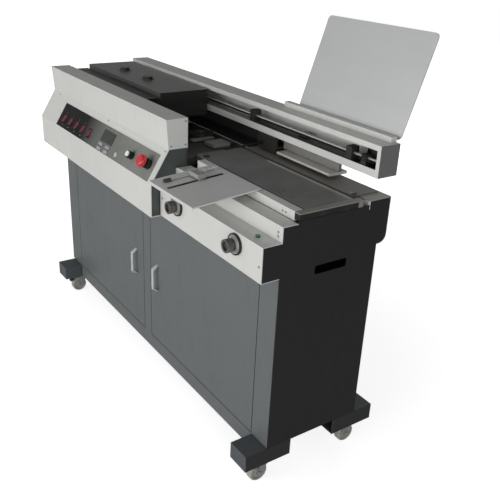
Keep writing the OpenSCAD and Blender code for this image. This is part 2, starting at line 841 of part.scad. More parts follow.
x_beam_l = x_l + 7.5;
lip_top = 15;
lip_low = 20;
beam_post = 13;
rod_y0 = y_beam + 20;
rod_z = z_beam + 35;
pulley_z = z_beam + 45;
belt_y = y_beam + 37;
belt_w = 10;
belt_t = 1.5;
pulley_in = 27;
x_pulley_l = x_beam_l + pulley_in;
x_pulley_r = x_r - beam_post - pulley_in - 3;
hanger_set = 27;
hanger_t = 12;
bracket_w = 80;
slot_y0 = y_beam + hanger_set - 3;
slot_y1 = y_beam + hanger_set + hanger_t + 3;
x_car1 = x_r - 113;
x_car0 = x_car1 - carriage_len;
hanger_xs = [x_car0 + 182, x_car0 + 372];
hanger_w = 40;
rod_end_x = x_pulley_r - 34;
bracket_xs = [x_l + bracket_w, x_r - 4.5 * bracket_w];
hinge_y = y_beam - 10.6;
hinge_z = z_beam_top - 19;
hood_pin_d = 5;
hood_pins = [x_hood0 + 40, x_hood1 - 75];
lug_t = 5;
knuckle_len = 20;
pulley_bore = 8;
flange_d = pulley_d + 8;

module beam_housing() {
    color("whitesmoke") difference() {
        union() {
            block([x_beam_l, y_beam, z_beam], [x_r, y_beam_b, z_beam_top]);
            // Ledge bar along the top, in front of the sheet support
            block([x_r - 470, y_beam_b - 20, z_beam_top - eps], [x_r - 15, y_beam_b, z_beam_top + 15]);
            // Two brackets that carry the beam from the back of the cabinet
            for (x = bracket_xs) along_x(x, x + bracket_w) polygon([
                [y_rear, z_rear - 100], [y_beam_b + 8, z_rear - 100], [y_beam_b + 8, z_beam + 40],
                [y_beam_b - eps, z_beam + 40], [y_beam_b - eps, z_rear + 4], [y_rear, z_rear + 4]
            ]);
            for (x = hood_pins) {
                for (dx = [-lug_t - gap, knuckle_len + gap])
                    block([x + dx, hinge_y - 5, hinge_z - 5], [x + dx + lug_t, y_beam + eps, hinge_z + 5]);
                rod_x(x - gap - 1, x + knuckle_len + gap + 1, hinge_y, hinge_z, hood_pin_d);
            }
        }
        difference() {
            block([x_beam_l + beam_t, y_beam + beam_t, z_beam + beam_t],
                  [x_r - beam_t, y_beam_b - beam_t, z_beam_top - beam_t]);
            for (x = [x_pulley_l, x_pulley_r]) rod_y(x, belt_y + belt_w + 2.5, y_beam_b, pulley_z, 20);
            // Rod seats
            block([x_beam_l, rod_y0 - 10, rod_z - 14], [x_beam_l + beam_t + 3, rod_y0 + 10, rod_z + 10]);
            block([rod_end_x, rod_y0 - 12, z_beam + beam_t - eps], [rod_end_x + 18, y_beam_b, rod_z + 12]);
        }
        block([x_beam_l + 12, y_beam - 1, z_beam + lip_low], [x_r - beam_post, y_beam + beam_t + eps, z_beam_top - lip_top]);
        block([hanger_xs[0] - carriage_travel - 10, slot_y0, z_beam - 1],
              [hanger_xs[1] + hanger_w + 10, slot_y1, z_beam + beam_t + eps]);
        for (x = [x_pulley_l, x_pulley_r])
            rod_y(x, belt_y + belt_w, y_beam_b - beam_t, pulley_z, pulley_bore + 2 * run_fit);
        rod_x(x_beam_l + beam_t, rod_end_x + 30, rod_y0, rod_z, rod_d);
        block([rod_end_x - 1, belt_y - 5, pulley_z - flange_d / 2 - 2], [rod_end_x + 19, belt_y + belt_w + 4, rod_z + 20]);
    }
}

module guide_rod() {
    color("silver") rod_x(x_beam_l + beam_t, x_r - beam_t, rod_y0, rod_z, rod_d);
}

// Carriage: bar between two bored blocks, hangers through the beam's slot, and a side plate
module carriage() {
    block_w = 22;
    z_low = z_beam + 5.5;
    y_hang = y_beam + hanger_set;
    z_foot = z_jaw + jaw_t + gap;
    x_plate = x_car0 + 62;
    color("gray") difference() {
        union() {
            block([x_car0 + block_w - eps, y_beam + 8, z_low], [x_car1 - block_w + eps, y_hang + hanger_t, z_low + 18]);
            for (x = [x_car0, x_car1 - block_w])
                block([x, y_beam + 6, z_low], [x + block_w, y_beam + 34, rod_z + 20]);
            for (x = hanger_xs) {
                block([x, y_hang, z_foot], [x + hanger_w, y_hang + hanger_t, z_low + eps]);
                translate([x + hanger_w / 2, y_hang + hanger_t / 2, z_jaw - 3.3]) {
                    cylinder(d = 6, h = 20);
                    cylinder(d = 12, h = 3);
                }
            }
            block([x_plate, y_beam - 3, z_foot], [x_plate + 95, y_hang + hanger_t, z_foot + 6]);
            block([x_plate, y_hang, z_foot], [hanger_xs[0] + hanger_w, y_hang + hanger_t, z_foot + 6]);
            block([x_plate, y_beam - 3, z_jaw - 4], [x_plate + 95, y_beam + 4, z_beam - gap]);
            block([x_car0 + 230, y_beam + 25, z_low + 8], [x_car0 + 260, y_beam + 50, z_low + 28]);
        }
        rod_x(x_car0 - 1, x_car1 + 1, rod_y0, rod_z, rod_d + 2 * run_fit);
        block([x_car0 + 229, belt_y - gap, pulley_z - pulley_d / 2 - belt_t - gap],
              [x_car0 + 261, belt_y + belt_w + gap, pulley_z - pulley_d / 2 + gap]);
    }
}

jaw_t = 8;
z_jaw = z_table + 7;
jaw_slot = 6.4;

module clamp_jaw() {
    color("silver") difference() {
        union() {
            block([x_car0 + 175, y_beam - 8.6, z_jaw], [x_car0 + 418, y_rear - panel_t - 1, z_jaw + jaw_t]);
            rod_x(x_car0 + 175, x_car0 + 418, y_beam - 8.6, z_jaw + jaw_t / 2, jaw_t);
        }
        for (x = hanger_xs) translate([x + hanger_w / 2, y_beam + hanger_set + hanger_t / 2, z_jaw - 1]) linear_extrude(jaw_t + 2) {
            translate([-jaw_slot / 2, 0]) square([jaw_slot, jaw_stroke]);
            circle(d = jaw_slot);
            translate([0, jaw_stroke]) circle(d = jaw_slot);
        }
    }
}

// Belt round both pulleys, drawn as one closed loop
module drive_belt() {
    r = pulley_d / 2;
    span = x_pulley_r - x_pulley_l;
    color([0.05, 0.05, 0.05]) translate([x_pulley_l, belt_y, pulley_z]) rotate([-90, 0, 0])
        linear_extrude(belt_w) difference() {
            union() {
                translate([0, -r - belt_t]) square([span, 2 * (r + belt_t)]);
                circle(r + belt_t);
                translate([span, 0]) circle(r + belt_t);
            }
            translate([0, -r]) square([span, 2 * r]);
            circle(r);
            translate([span, 0]) circle(r);
        }
}

module pulley(x) {
    color([0.1, 0.1, 0.1]) {
        rod_y(x, belt_y - 1, belt_y + belt_w + 1, pulley_z, pulley_d - 2 * gap);
        rod_y(x, belt_y - 3, belt_y - gap, pulley_z, flange_d);
        rod_y(x, belt_y + belt_w + gap, belt_y + belt_w + 2, pulley_z, flange_d);
        rod_y(x, belt_y - 4, y_beam_b - beam_t - gap, pulley_z, pulley_bore);
    }
}

module left_pulley() {
    pulley(x_pulley_l);
}

module right_pulley() {
    pulley(x_pulley_r);
}

// Leaning plate, bent down at its foot against the back of the beam
x_support = x_r - 9 - support_w;

module sheet_support() {
    color("silver") {
        translate([x_support, y_beam_b + support_set, z_beam_top + 4]) rotate([-support_lean, 0, 0])
            rotate([90, 0, 0]) translate([support_w / 2, support_len / 2, -support_t])
                linear_extrude(support_t) round_rect(support_w, support_len, 14);
        block([x_support + 45, y_beam_b, z_beam_top - 40],
              [x_support + support_w - 45, y_beam_b + support_set + support_t, z_beam_top + 6]);
    }
}

// ---- Hood and stations ----

z_hood_top = z_beam_top - 10.5;
z_hood_low = z_beam - 11.5;
y_hood_f = y_cab + 106;
y_hood_b = y_beam - 6;
z_rail_h = z_hood_top - 15;

// Hinged lid over the milling and gluing stations
module hood() {
    side = [
        [y_hood_f, z_hood_top], [y_hood_f, z_hood_top - 40], [y_hood_f + 22, z_hood_low],
        [y_beam - 12.6, z_hood_low], [y_beam - 12.6, hinge_z - 6], [y_hood_b - 12, hinge_z - 6],
        [y_hood_b - 12, z_hood_top]
    ];
    color([0.2, 0.2, 0.2]) difference() {
        union() {
            block([x_hood0, y_hood_f, z_hood_top - sheet], [x_hood1, y_hood_b, z_hood_top]);
            block([x_hood0, y_hood_f, z_hood_top - 40], [x_hood1, y_hood_f + sheet, z_hood_top]);
            for (x = [x_hood0, x_hood1 - sheet]) along_x(x, x + sheet) polygon(side);
            for (x = [x_hood0 + hood_knob_in, x_hood0 + hood_knob_in + hood_knob_pitch])
                translate([x, y_hood_f + 74, z_hood_top - eps]) {
                    cylinder(d = 34, h = 10);
                    cylinder(d = 46, h = 2);
                }
        }
        for (x = hood_pins)
            block([x - 8, hinge_y - 9, z_hood_top - 5], [x + knuckle_len + 8, y_hood_b + 1, z_hood_top + 1]);
    }
    // Knuckles between the beam's lugs
    color([0.2, 0.2, 0.2]) for (x = hood_pins) difference() {
        union() {
            rod_x(x, x + knuckle_len, hinge_y, hinge_z, 9);
            block([x, hinge_y - 14, z_hood_top - 8], [x + knuckle_len, hinge_y + 3, z_hood_top - sheet / 2]);
        }
        rod_x(x - 1, x + knuckle_len + 1, hinge_y, hinge_z, hood_pin_d + 2 * run_fit);
    }
}

deck_t = 4;
z_deck = z_table - 11;
z_shelf = z_table - 84;
cutter_x = x_deck - cutter_in;
cutter_y = y_lip - 52;
cutter_d = 84;
mill_shaft_d = 10;

rear_plate_t = 3;
y_nip_rear = y_lip - 22;

// Bent deck: a low shelf for the glue tank, and the milling deck with the cutter's well. With it
// go the plate on the rear ledge, its hinge barrel, and the bar at the table's right end.
module station_deck() {
    path = [[x_in_l, z_shelf], [x_step, z_shelf], [x_step, z_deck], [x_deck, z_deck], [x_deck, z_deck - 26]];
    color("gray") difference() {
        union() {
            along_y(y_deck_f, y_lip) polygon(strip(path, -deck_t));
            translate([cutter_x, cutter_y, z_deck - 92]) cylinder(d = cutter_d + 16, h = 90);
            block([x_deck - 92, y_lip - 110, z_deck - eps], [x_deck - 37, y_lip - 30, z_deck + 14]);
            block([x_deck - 150, y_lip - 130, z_deck - eps], [x_deck - 132, y_lip - 45, z_deck + 8]);
            block([x_nip0, y_nip_rear, z_rear], [x_nip1 - 20, y_rear - 8, z_rear + rear_plate_t]);
            rod_y(x_nip1 - 34, y_nip_rear + 2, y_nip_rear + 22, z_rear + rear_plate_t + 4.5, 11);
            block([x_nip1 + gap, y_bar0, z_shoulder], [x_r - 1, y_nip_rear - gap, z_table]);
        }
        translate([cutter_x, cutter_y, z_deck - 12]) cylinder(d = cutter_d + 8, h = 30);
        translate([cutter_x, cutter_y, z_deck - 60]) cylinder(r = mill_shaft_d / 2 + run_fit, h = 60);
    }
}

// Milling cutter: disc with teeth, on its spindle
module milling_cutter() {
    teeth = 12;
    color("silver") translate([cutter_x, cutter_y, z_deck]) {
        difference() {
            translate([0, 0, -11]) cylinder(d = cutter_d, h = 19);
            for (i = [0:teeth - 1]) rotate(i * 360 / teeth)
                translate([cutter_d / 2 - 8, -5, 3]) cube([12, 6, 8]);
            translate([0, 0, 3]) cylinder(d = cutter_d - 30, h = 8);
        }
        translate([0, 0, -55]) cylinder(d = mill_shaft_d, h = 60);
    }
}

roller_d = 50;
roller_x = x_step - roller_in;
roller_z = z_table - 27;
y_tank0 = y_lip - 146;
y_tank1 = y_lip - 1;
cheek_t = 8;
roller_shaft_d = 12;

// Glue tank with a bearing cheek at each end of the roller
module glue_tank() {
    color("dimgray") difference() {
        union() {
            difference() {
                block([roller_x - 90, y_tank0, z_shelf], [roller_x + 90, y_tank1, z_shelf + 45]);
                block([roller_x - 84, y_tank0 + cheek_t, z_shelf + 5], [roller_x + 84, y_tank1 - cheek_t, z_shelf + 46]);
            }
            for (y = [y_tank0, y_tank1 - cheek_t])
                block([roller_x - 22, y, z_shelf + 20], [roller_x + 22, y + cheek_t, roller_z + 13]);
        }
        rod_y(roller_x, y_tank0 - 1, y_tank1 + 1, roller_z, roller_shaft_d + 2 * run_fit);
    }
}

module glue_roller() {
    color("silver") {
        rod_y(roller_x, y_tank0 + cheek_t + 3, y_tank1 - cheek_t - 3, roller_z, roller_d);
        rod_y(roller_x, y_tank0 + 1, y_tank1 - 1, roller_z, roller_shaft_d);
    }
}

feet();
frame_rails();
castor_plates();
castor_fork(0);  // castor_fork_fl
castor_fork(1);  // castor_fork_fr
castor_fork(2);  // castor_fork_rl
castor_fork(3);  // castor_fork_rr
castor_wheel(0);  // castor_wheel_fl
castor_wheel(1);  // castor_wheel_fr
castor_wheel(2);  // castor_wheel_rl
castor_wheel(3);  // castor_wheel_rr
floor_panel();
frame_posts();
left_end_panel();
right_end_panel();
back_panel();
rear_cover();
left_door();
right_door();
left_door_handle();
right_door_handle();
front_fascia();
head_cover();
head_plates();
control_panel();
rocker(0);  // rocker_1
rocker(1);  // rocker_2
rocker(2);  // rocker_3
rocker(3);  // rocker_4
rocker(4);  // rocker_5
panel_windows();
panel_key(0);  // key_1
panel_key(1);  // key_2
panel_key(2);  // key_3
panel_key(3);  // key_4
start_button();
stop_button();
button_barrels();
left_knob();
right_knob();
knob_bushes();
ledge_button();
cover_table();
cover_stop();
nip_table();
nip_bars();
beam_housing();
guide_rod();
carriage();
clamp_jaw();
drive_belt();
left_pulley();
right_pulley();
sheet_support();
hood();
station_deck();
glue_tank();
glue_roller();
milling_cutter();
mains_inlet();
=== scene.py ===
"""Looks of a floor-standing perfect binding machine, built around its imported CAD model.

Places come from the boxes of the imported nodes. The finishes are worked out in the shaders, and only
the small pieces that the solids leave out are made here: screws, bezels, printed marks, the bent door
handles, axle nuts, brake pedals and the loose parts of the clamp and the cover table.
"""

import math

import bmesh
import bpy
from mathutils import Matrix, Vector


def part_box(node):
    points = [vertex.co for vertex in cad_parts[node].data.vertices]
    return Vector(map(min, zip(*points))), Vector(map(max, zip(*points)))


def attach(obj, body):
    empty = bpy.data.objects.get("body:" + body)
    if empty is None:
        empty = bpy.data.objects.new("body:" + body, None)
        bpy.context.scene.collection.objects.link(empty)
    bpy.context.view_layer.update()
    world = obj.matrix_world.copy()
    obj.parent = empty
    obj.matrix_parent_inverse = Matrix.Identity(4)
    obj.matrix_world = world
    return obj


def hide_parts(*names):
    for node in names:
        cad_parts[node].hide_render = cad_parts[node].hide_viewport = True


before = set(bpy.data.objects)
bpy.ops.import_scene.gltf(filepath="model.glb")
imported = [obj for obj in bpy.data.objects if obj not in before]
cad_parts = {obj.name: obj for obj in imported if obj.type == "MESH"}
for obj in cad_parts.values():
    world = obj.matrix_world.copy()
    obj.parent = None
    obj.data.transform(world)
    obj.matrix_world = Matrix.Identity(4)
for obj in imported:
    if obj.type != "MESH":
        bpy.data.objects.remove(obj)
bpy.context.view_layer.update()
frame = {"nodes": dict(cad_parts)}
nodes = frame["nodes"]

MM = 0.001


# ---------------------------------------------------------------- shader maths


class Signal:
    """One output socket of a shader node, used as a value in an expression."""

    def __init__(self, nodes, socket):
        self.nodes = nodes
        self.socket = socket

    def _math(self, operation, first, second=0.0):
        return self.nodes.add("ShaderNodeMath", {"operation": operation}, {0: first, 1: second})

    def __add__(self, other):
        return self._math("ADD", self, other)

    def __sub__(self, other):
        return self._math("SUBTRACT", self, other)

    def __rsub__(self, other):
        return self._math("SUBTRACT", other, self)

    def __mul__(self, other):
        return self._math("MULTIPLY", self, other)

    def __truediv__(self, other):
        return self._math("DIVIDE", self, other)

    def __pow__(self, other):
        return self._math("POWER", self, other)

    def __mod__(self, other):
        return self._math("MODULO", self, other)

    def __gt__(self, other):
        return self._math("GREATER_THAN", self, other)

    def __lt__(self, other):
        return self._math("LESS_THAN", self, other)

    def __abs__(self):
        return self._math("ABSOLUTE", self)

    __radd__ = __add__
    __rmul__ = __mul__


class Nodes:
    """A shader node tree whose nodes all come from one method."""

    def __init__(self, tree):
        self.tree = tree

    def add(self, kind, settings=None, sockets=None, output=0):
        """Adds a node: its settings first, then the values or links of its sockets. The settings
        of a ramp are its stops, each a position and a grey level."""
        node = self.tree.nodes.new(kind)
        for key, value in (settings or {}).items():
            if key == "stops":
                ramp = node.color_ramp
                while len(ramp.elements) < len(value):
                    ramp.elements.new(0.5)
                for element, (position, grey) in zip(ramp.elements, value):
                    element.position = position
                    element.color = (grey, grey, grey, 1)
            else:
                setattr(node, key, value)
        for key, value in (sockets or {}).items():
            self.feed(node.inputs[key], value)
        return Signal(self, node.outputs[output]) if node.outputs else None

    def feed(self, socket, value):
        """Links a signal to a socket, or sets the socket to a number, a vector or a colour."""
        if isinstance(value, Signal):
            self.tree.links.new(value.socket, socket)
        elif hasattr(value, "__len__") and socket.type == "RGBA":
            socket.default_value = (*value[:3], 1)
        else:
            socket.default_value = value

    def steps(self, value, *stops):
        """A ramp over value, with straight stretches from stop to stop."""
        return self.add("ShaderNodeValToRGB", {"stops": stops}, {0: value})

    def split(self, vector, letter):
        """One coordinate of a vector, named by its letter."""
        return self.add("ShaderNodeSeparateXYZ", {}, {0: vector}, output=letter)


class Finish(Nodes):
    """A material with one Principled shader, and the nodes that feed it."""

    def __init__(self, name, **constants):
        self.material = bpy.data.materials.new(name)
        self.material.use_nodes = True
        super().__init__(self.material.node_tree)
        self.shader = self.tree.nodes["Principled BSDF"]
        self.place = self.add("ShaderNodeTexCoord", output="Object")
        self.set(**constants)

    def set(self, **sockets):
        """Feeds the shader's sockets, named with underscores for spaces."""
        for name, value in sockets.items():
            self.feed(self.shader.inputs[name.replace("_", " ")], value)

    def noise(self, size, detail=2.0, stretch=(1, 1, 1)):
        """Soft noise whose grain is about size metres, stretched along the axes."""
        scaled = self.add("ShaderNodeVectorMath", {"operation": "MULTIPLY"}, {0: self.place, 1: stretch})
        return self.add("ShaderNodeTexNoise", {}, {"Vector": scaled, "Scale": 1 / size, "Detail": detail})

    def axis(self, letter):
        """The place on the surface along one axis, in metres."""
        return self.split(self.place, letter)

    def within(self, **sides):
        """1 inside a box whose sides are given by letter, in metres; None leaves a side open."""
        inside = 1.0
        for letter, (low_side, high_side) in sides.items():
            if low_side is not None:
                inside = (self.axis(letter) > low_side) * inside
            if high_side is not None:
                inside = (self.axis(letter) < high_side) * inside
        return inside

    def tinted(self, base, tones):
        """base, with another colour in each of the boxes of tones."""
        for sides, colour in tones:
            base = self.blend(self.within(**sides), base, colour)
        return base

    def blend(self, factor, first, second, mode="MIX"):
        """The first colour at a factor of 0, turning into the second at 1."""
        settings = {"data_type": "RGBA", "blend_type": mode}
        return self.add("ShaderNodeMix", settings, {0: factor, 6: first, 7: second}, output=2)

    def corner(self):
        """Painted shade: 1 in tight inner corners, which ambient occlusion finds, and 0 on open faces."""
        open_sky = self.add("ShaderNodeAmbientOcclusion", {"samples": 4}, {"Distance": 18 * MM}, output="AO")
        return 1 - open_sky

    def rounded(self, radius):
        """The normal of edges rounded by radius metres."""
        return self.add("ShaderNodeBevel", {"samples": 4}, {"Radius": radius})

    def relief(self, height, depth, strength=1.0, edge=0.8 * MM):
        """Bump of height over edges rounded by edge metres, and depth metres from low to high."""
        sockets = {"Height": height, "Distance": depth, "Strength": strength, "Normal": self.rounded(edge)}
        return self.add("ShaderNodeBump", {}, sockets)


def srgb(*levels):
    """A colour written in 0 to 255 screen levels, as linear light."""
    return tuple((v / 255 / 12.92) if v <= 10 else ((v / 255 + 0.055) / 1.055) ** 2.4 for v in levels)


def shade(colour, amount):
    """The colour made darker or lighter by a factor."""
    return tuple(min(1.0, c * amount) for c in colour)


def powder_coat(name, colour, roughness=0.42, grain=0.5, soil_and_corner_shade=0.35, edge=0.9 * MM, tones=()):
    """Baked powder coat over sheet steel: fine orange peel, faint clouds, streaks of soil, and painted shade
    in corners.
    Each of the tones is a box and the colour of the coat inside it."""
    coat = Finish(name, Specular_IOR_Level=0.45)
    peel = coat.noise(1.6 * MM, 2.0)
    cloud = coat.noise(160 * MM, 3.0)
    smear = coat.noise(30 * MM, 4.0, stretch=(1, 1, 0.35))
    tint = coat.tinted(colour, tones)
    tint = coat.blend(coat.steps(cloud, (0.3, 0.14), (0.7, 0)), tint, (0.7, 0.7, 0.7), "MULTIPLY")
    tint = coat.blend(coat.steps(smear, (0.55, 0), (0.8, 0.4 * soil_and_corner_shade)), tint, (0.6, 0.6, 0.58), "MULTIPLY")
    # Painted shade: the coat is darker in tight inner corners.
    tint = coat.blend(coat.corner() * soil_and_corner_shade, tint, shade(colour, 0.3))
    coat.set(
        Base_Color=tint,
        Roughness=roughness + 0.12 * (smear - 0.5) + 0.05 * (peel - 0.5),
        Normal=coat.relief(peel, 0.06 * MM, grain, edge),
    )
    return coat.material


def worn_table(name, colour, roughness=0.38, tones=(), painted_sheen_span=(-1.0, 1.0)):
    """Dark coated table that paper has rubbed: long faint strokes and a few brighter scuffs.
    A painted sheen makes it brightest at the first X of the pair given, and darkest at the second."""
    top = Finish(name, Specular_IOR_Level=0.5)
    peel = top.noise(1.2 * MM, 2.0)
    strokes = top.noise(4 * MM, 3.0, stretch=(0.03, 1, 1))
    patches = top.noise(90 * MM, 4.0)
    rub = top.steps(patches, (0.42, 0), (0.75, 1))
    tint = top.tinted(colour, tones)
    # Painted sheen: brighter towards the first X, darker towards the second.
    along = (top.axis("X") - painted_sheen_span[0]) / (painted_sheen_span[1] - painted_sheen_span[0])
    tint = top.blend(top.steps(along, (0, 0), (1, 0.7)), tint, (0.5, 0.5, 0.5), "MULTIPLY")
    tint = top.blend(rub, tint, top.blend(1.0, tint, (1.4, 1.4, 1.4), "MULTIPLY"))
    tint = top.blend(top.steps(strokes, (0.5, 0), (0.85, 0.4)), tint, shade(colour, 1.5))
    # Painted shade: darker in tight inner corners.
    tint = top.blend(top.corner() * 0.4, tint, shade(colour, 0.35))
    top.set(
        Base_Color=tint,
        Roughness=roughness - 0.1 * rub + 0.1 * (strokes - 0.5),
        Normal=top.relief(peel + 0.4 * strokes, 0.05 * MM, 0.5),
    )
    return top.material


def brushed(name, colour, along, roughness=0.42, streak=0.10, metallic=0.6, cloud=0.06, tones=()):
    """Brushed sheet or turned metal: streaks along the axis that has the smallest factor in along,
    with slow clouds of tone."""
    metal = Finish(name, Metallic=metallic)
    lines = metal.noise(1.1 * MM, 3.0, stretch=along)
    wide = metal.noise(20 * MM, 2.0, stretch=along)
    slow = metal.noise(140 * MM, 3.0)
    tint = metal.tinted(colour, tones)
    tint = metal.blend(metal.steps(lines, (0.3, 2 * streak), (0.7, 0)), tint, (0.5, 0.5, 0.5), "MULTIPLY")
    tint = metal.blend(metal.steps(slow, (0.35, 0), (0.7, cloud * 6)), tint, shade(colour, 0.82))
    # Painted shade: darker in tight inner corners.
    tint = metal.blend(metal.corner() * 0.5, tint, shade(colour, 0.3))
    metal.set(
        Base_Color=tint,
        Roughness=roughness + 0.16 * (wide - 0.5) + 0.08 * (lines - 0.5),
        Normal=metal.relief(lines, 0.02 * MM, 0.35, 0.5 * MM),
    )
    return metal.material


def moulded(name, colour, roughness=0.35, texture=0.9 * MM, depth=0.03 * MM, coat=0.0):
    """Moulded plastic with a fine spark texture and slight handling marks."""
    part = Finish(name, Specular_IOR_Level=0.5, Coat_Weight=coat)
    spark = part.noise(texture, 3.0)
    handled = part.noise(12 * MM, 3.0)
    tint = part.blend(part.steps(handled, (0.35, 0), (0.75, 1)), shade(colour, 0.92), shade(colour, 1.08))
    # Painted shade: darker in tight inner corners.
    tint = part.blend(part.corner() * 0.5, tint, shade(colour, 0.4))
    part.set(
        Base_Color=tint,
        Roughness=roughness + 0.15 * (handled - 0.5),
        Normal=part.relief(spark, depth, 0.5, 0.6 * MM),
    )
    return part.material


# ---------------------------------------------------------------- where things are


def low(node, axis):
    """The low side of a node's box, along axis 0, 1 or 2."""
    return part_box(node)[0][axis]


def high(node, axis):
    """The high side of a node's box, along axis 0, 1 or 2."""
    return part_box(node)[1][axis]


def middle(node):
    """The middle of a node's box."""
    return sum(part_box(node), Vector()) / 2


FRONT, BACK = (0, -1, 0), (0, 1, 0)
LEFT, RIGHT = (-1, 0, 0), (1, 0, 0)
UP = (0, 0, 1)
CORNERS = ("fl", "fr", "rl", "rr")
ROCKERS = [f"rocker_{number}" for number in range(1, 6)]
KEYS = [f"key_{number}" for number in range(1, 5)]

# Cabinet and white front, whose lower ledge lies 98 mm above its foot
X_LEFT, X_RIGHT = low("left_end_panel", 0), high("right_end_panel", 0)
Y_DOORS = low("frame_posts", 1)
Y_FASCIA = low("front_fascia", 1)
Z_LEDGE = low("front_fascia", 2) + 98 * MM

# Head: an upright face, and above it the slope that carries the control panel
X_HEAD_LEFT, X_HEAD_RIGHT = low("head_cover", 0), high("head_cover", 0)
Y_HEAD = low("head_cover", 1)
Z_SLOPE = low("head_cover", 2) + 104 * MM
SLOPE_RUN, SLOPE_RISE = 59 * MM, 96 * MM
SLOPE = Matrix.Rotation(math.pi / 2 - math.atan2(SLOPE_RUN, SLOPE_RISE), 4, "X")

# Tables
X_TABLE_LEFT, X_TABLE_RIGHT = low("nip_table", 0), high("nip_table", 0)
Y_TABLE_BACK = high("nip_table", 1)
Z_TABLE = high("nip_table", 2)
X_DECK_END = X_TABLE_LEFT - 13 * MM

# Guide beam: its box also holds the hinge eyes in front of it and the brackets below it
BEAM_TALL = 86 * MM
BEAM_WALL = 3 * MM
HINGE_EYES = 15.6 * MM
ROD_BELOW_TOP = 45 * MM
X_BEAM_END = high("beam_housing", 0)
Y_BEAM = low("beam_housing", 1) + HINGE_EYES
Z_BEAM_TOP = high("guide_rod", 2) + ROD_BELOW_TOP
Z_BEAM = Z_BEAM_TOP - BEAM_TALL

# A mask that reaches this far inwards takes in one outer face and none of its neighbours
FACE = 0.5 * MM

# The camera was fitted from a point on the cabinet's middle line, 183.3 mm behind the doors
FIT_POINT = Vector(((X_LEFT + X_RIGHT) / 2, Y_DOORS + 183.3 * MM, 0))


def at(x, y, z):
    """A place read with the fitted camera, in millimetres to the right, behind and above."""
    return FIT_POINT + Vector((x, y, z)) * MM


def on_slope(x, s, h=0.0):
    """A place on the sloping face: x metres along, s millimetres up the slope, h millimetres out of it."""
    return Matrix.Translation((x, Y_HEAD, Z_SLOPE)) @ SLOPE @ Matrix.Translation((0, s * MM, h * MM))


def seat_of(node):
    """Where a node's middle lies on the sloping face: x in metres, and millimetres up the slope."""
    seat = (Matrix.Translation((0, Y_HEAD, Z_SLOPE)) @ SLOPE).inverted() @ middle(node)
    return seat.x, seat.y / MM


def facing(point, direction, turn=0.0):
    """A place at point whose Z axis points along direction."""
    aim = Vector(direction).to_track_quat("Z", "Y").to_matrix().to_4x4()
    return Matrix.Translation(point) @ aim @ Matrix.Rotation(turn, 4, "Z")


# ---------------------------------------------------------------- making meshes


class Shape:
    """A mesh that grows by slabs, turned pieces and rods, and then becomes one piece of the machine."""

    def __init__(self):
        self.mesh = bmesh.new()

    def slab(self, outline, depth, place=Matrix()):
        """A flat outline in metres, given depth along the place's Z."""
        part = bmesh.new()
        face = part.faces.new([part.verts.new((x, y, 0)) for x, y in outline])
        grown = bmesh.ops.extrude_face_region(part, geom=[face])
        top = [v for v in grown["geom"] if isinstance(v, bmesh.types.BMVert)]
        bmesh.ops.translate(part, verts=top, vec=(0, 0, depth))
        return self._take(part, place)

    def block(self, low_corner, high_corner):
        """A block between two corners in metres."""
        (x0, y0, z0), (x1, y1, z1) = low_corner, high_corner
        return self.slab([(x0, y0), (x1, y0), (x1, y1), (x0, y1)], z1 - z0, Matrix.Translation((0, 0, z0)))

    def turned(self, profile, place=Matrix(), steps=40, ring_shape=None):
        """A profile of radius and height in metres, turned about the place's Z. A third value of
        1 in the profile gives that ring the outline of ring_shape."""
        part = bmesh.new()
        rings = []
        for radius, height, *shaped in profile:
            if radius == 0:
                rings.append([part.verts.new((0, 0, height))])
                continue
            ring = []
            for i in range(steps):
                r = radius * (ring_shape(i / steps) if shaped else 1)
                a = 2 * math.pi * i / steps
                ring.append(part.verts.new((r * math.cos(a), r * math.sin(a), height)))
            rings.append(ring)
        for a, b in zip(rings, rings[1:]):
            for i in range(steps):
                j = (i + 1) % steps
                if len(a) == 1:
                    part.faces.new((a[0], b[i], b[j]))
                elif len(b) == 1:
                    part.faces.new((a[i], b[0], a[j]))
                else:
                    part.faces.new((a[i], b[i], b[j], a[j]))
        return self._take(part, place)

    def sweep(self, points, radius, steps=12, closed=False):
        """A round rod along points, or a closed ring of it."""
        part = bmesh.new()
        points = [Vector(p) for p in points]
        count = len(points)
        rings = []
        for k, p in enumerate(points):
            before = points[k - 1] if k or closed else points[k]
            after = points[(k + 1) % count] if k < count - 1 or closed else points[k]
            turn = (after - before).normalized().to_track_quat("Z", "Y").to_matrix()
            rings.append([part.verts.new(p + turn @ offset) for offset in circle(radius, steps)])
        following = rings[1:] + rings[:1] if closed else rings[1:]
        for a, b in zip(rings, following):
            for i in range(steps):
                part.faces.new((a[i], a[(i + 1) % steps], b[(i + 1) % steps], b[i]))
        if not closed:
            part.faces.new(rings[0])
            part.faces.new(rings[-1])
        return self._take(part, Matrix())

    def _take(self, part, place):
        """Puts a finished part into place and adds it to the mesh."""
        bmesh.ops.recalc_face_normals(part, faces=part.faces)
        part.transform(place)
        spare = bpy.data.meshes.new("spare")
        part.to_mesh(spare)
        part.free()
        self.mesh.from_mesh(spare)
        bpy.data.meshes.remove(spare)
        return self

    def done(self, name, finish, body, slot, bevel=0.0, angle=35):
        """Turns the mesh into a piece that rides on body. Edges sharper than angle stay sharp."""
        mesh = bpy.data.meshes.new(name)
        self.mesh.to_mesh(mesh)
        self.mesh.free()
        mesh.materials.append(finish)
        for polygon in mesh.polygons:
            polygon.use_smooth = True
        mesh.set_sharp_from_angle(angle=math.radians(angle))
        piece = bpy.data.objects.new(name, mesh)
        bpy.context.scene.collection.objects.link(piece)
        if bevel:
            edge = piece.modifiers.new("edge", "BEVEL")
            edge.width = bevel
            edge.segments = 2
            edge.limit_method = "ANGLE"
        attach(piece, body)
        return piece


def circle(radius, steps):
    """Points of a circle about the origin, in the XY plane."""
    angles = (2 * math.pi * i / steps for i in range(steps))
    return [Vector((radius * math.cos(a), radius * math.sin(a), 0)) for a in angles]


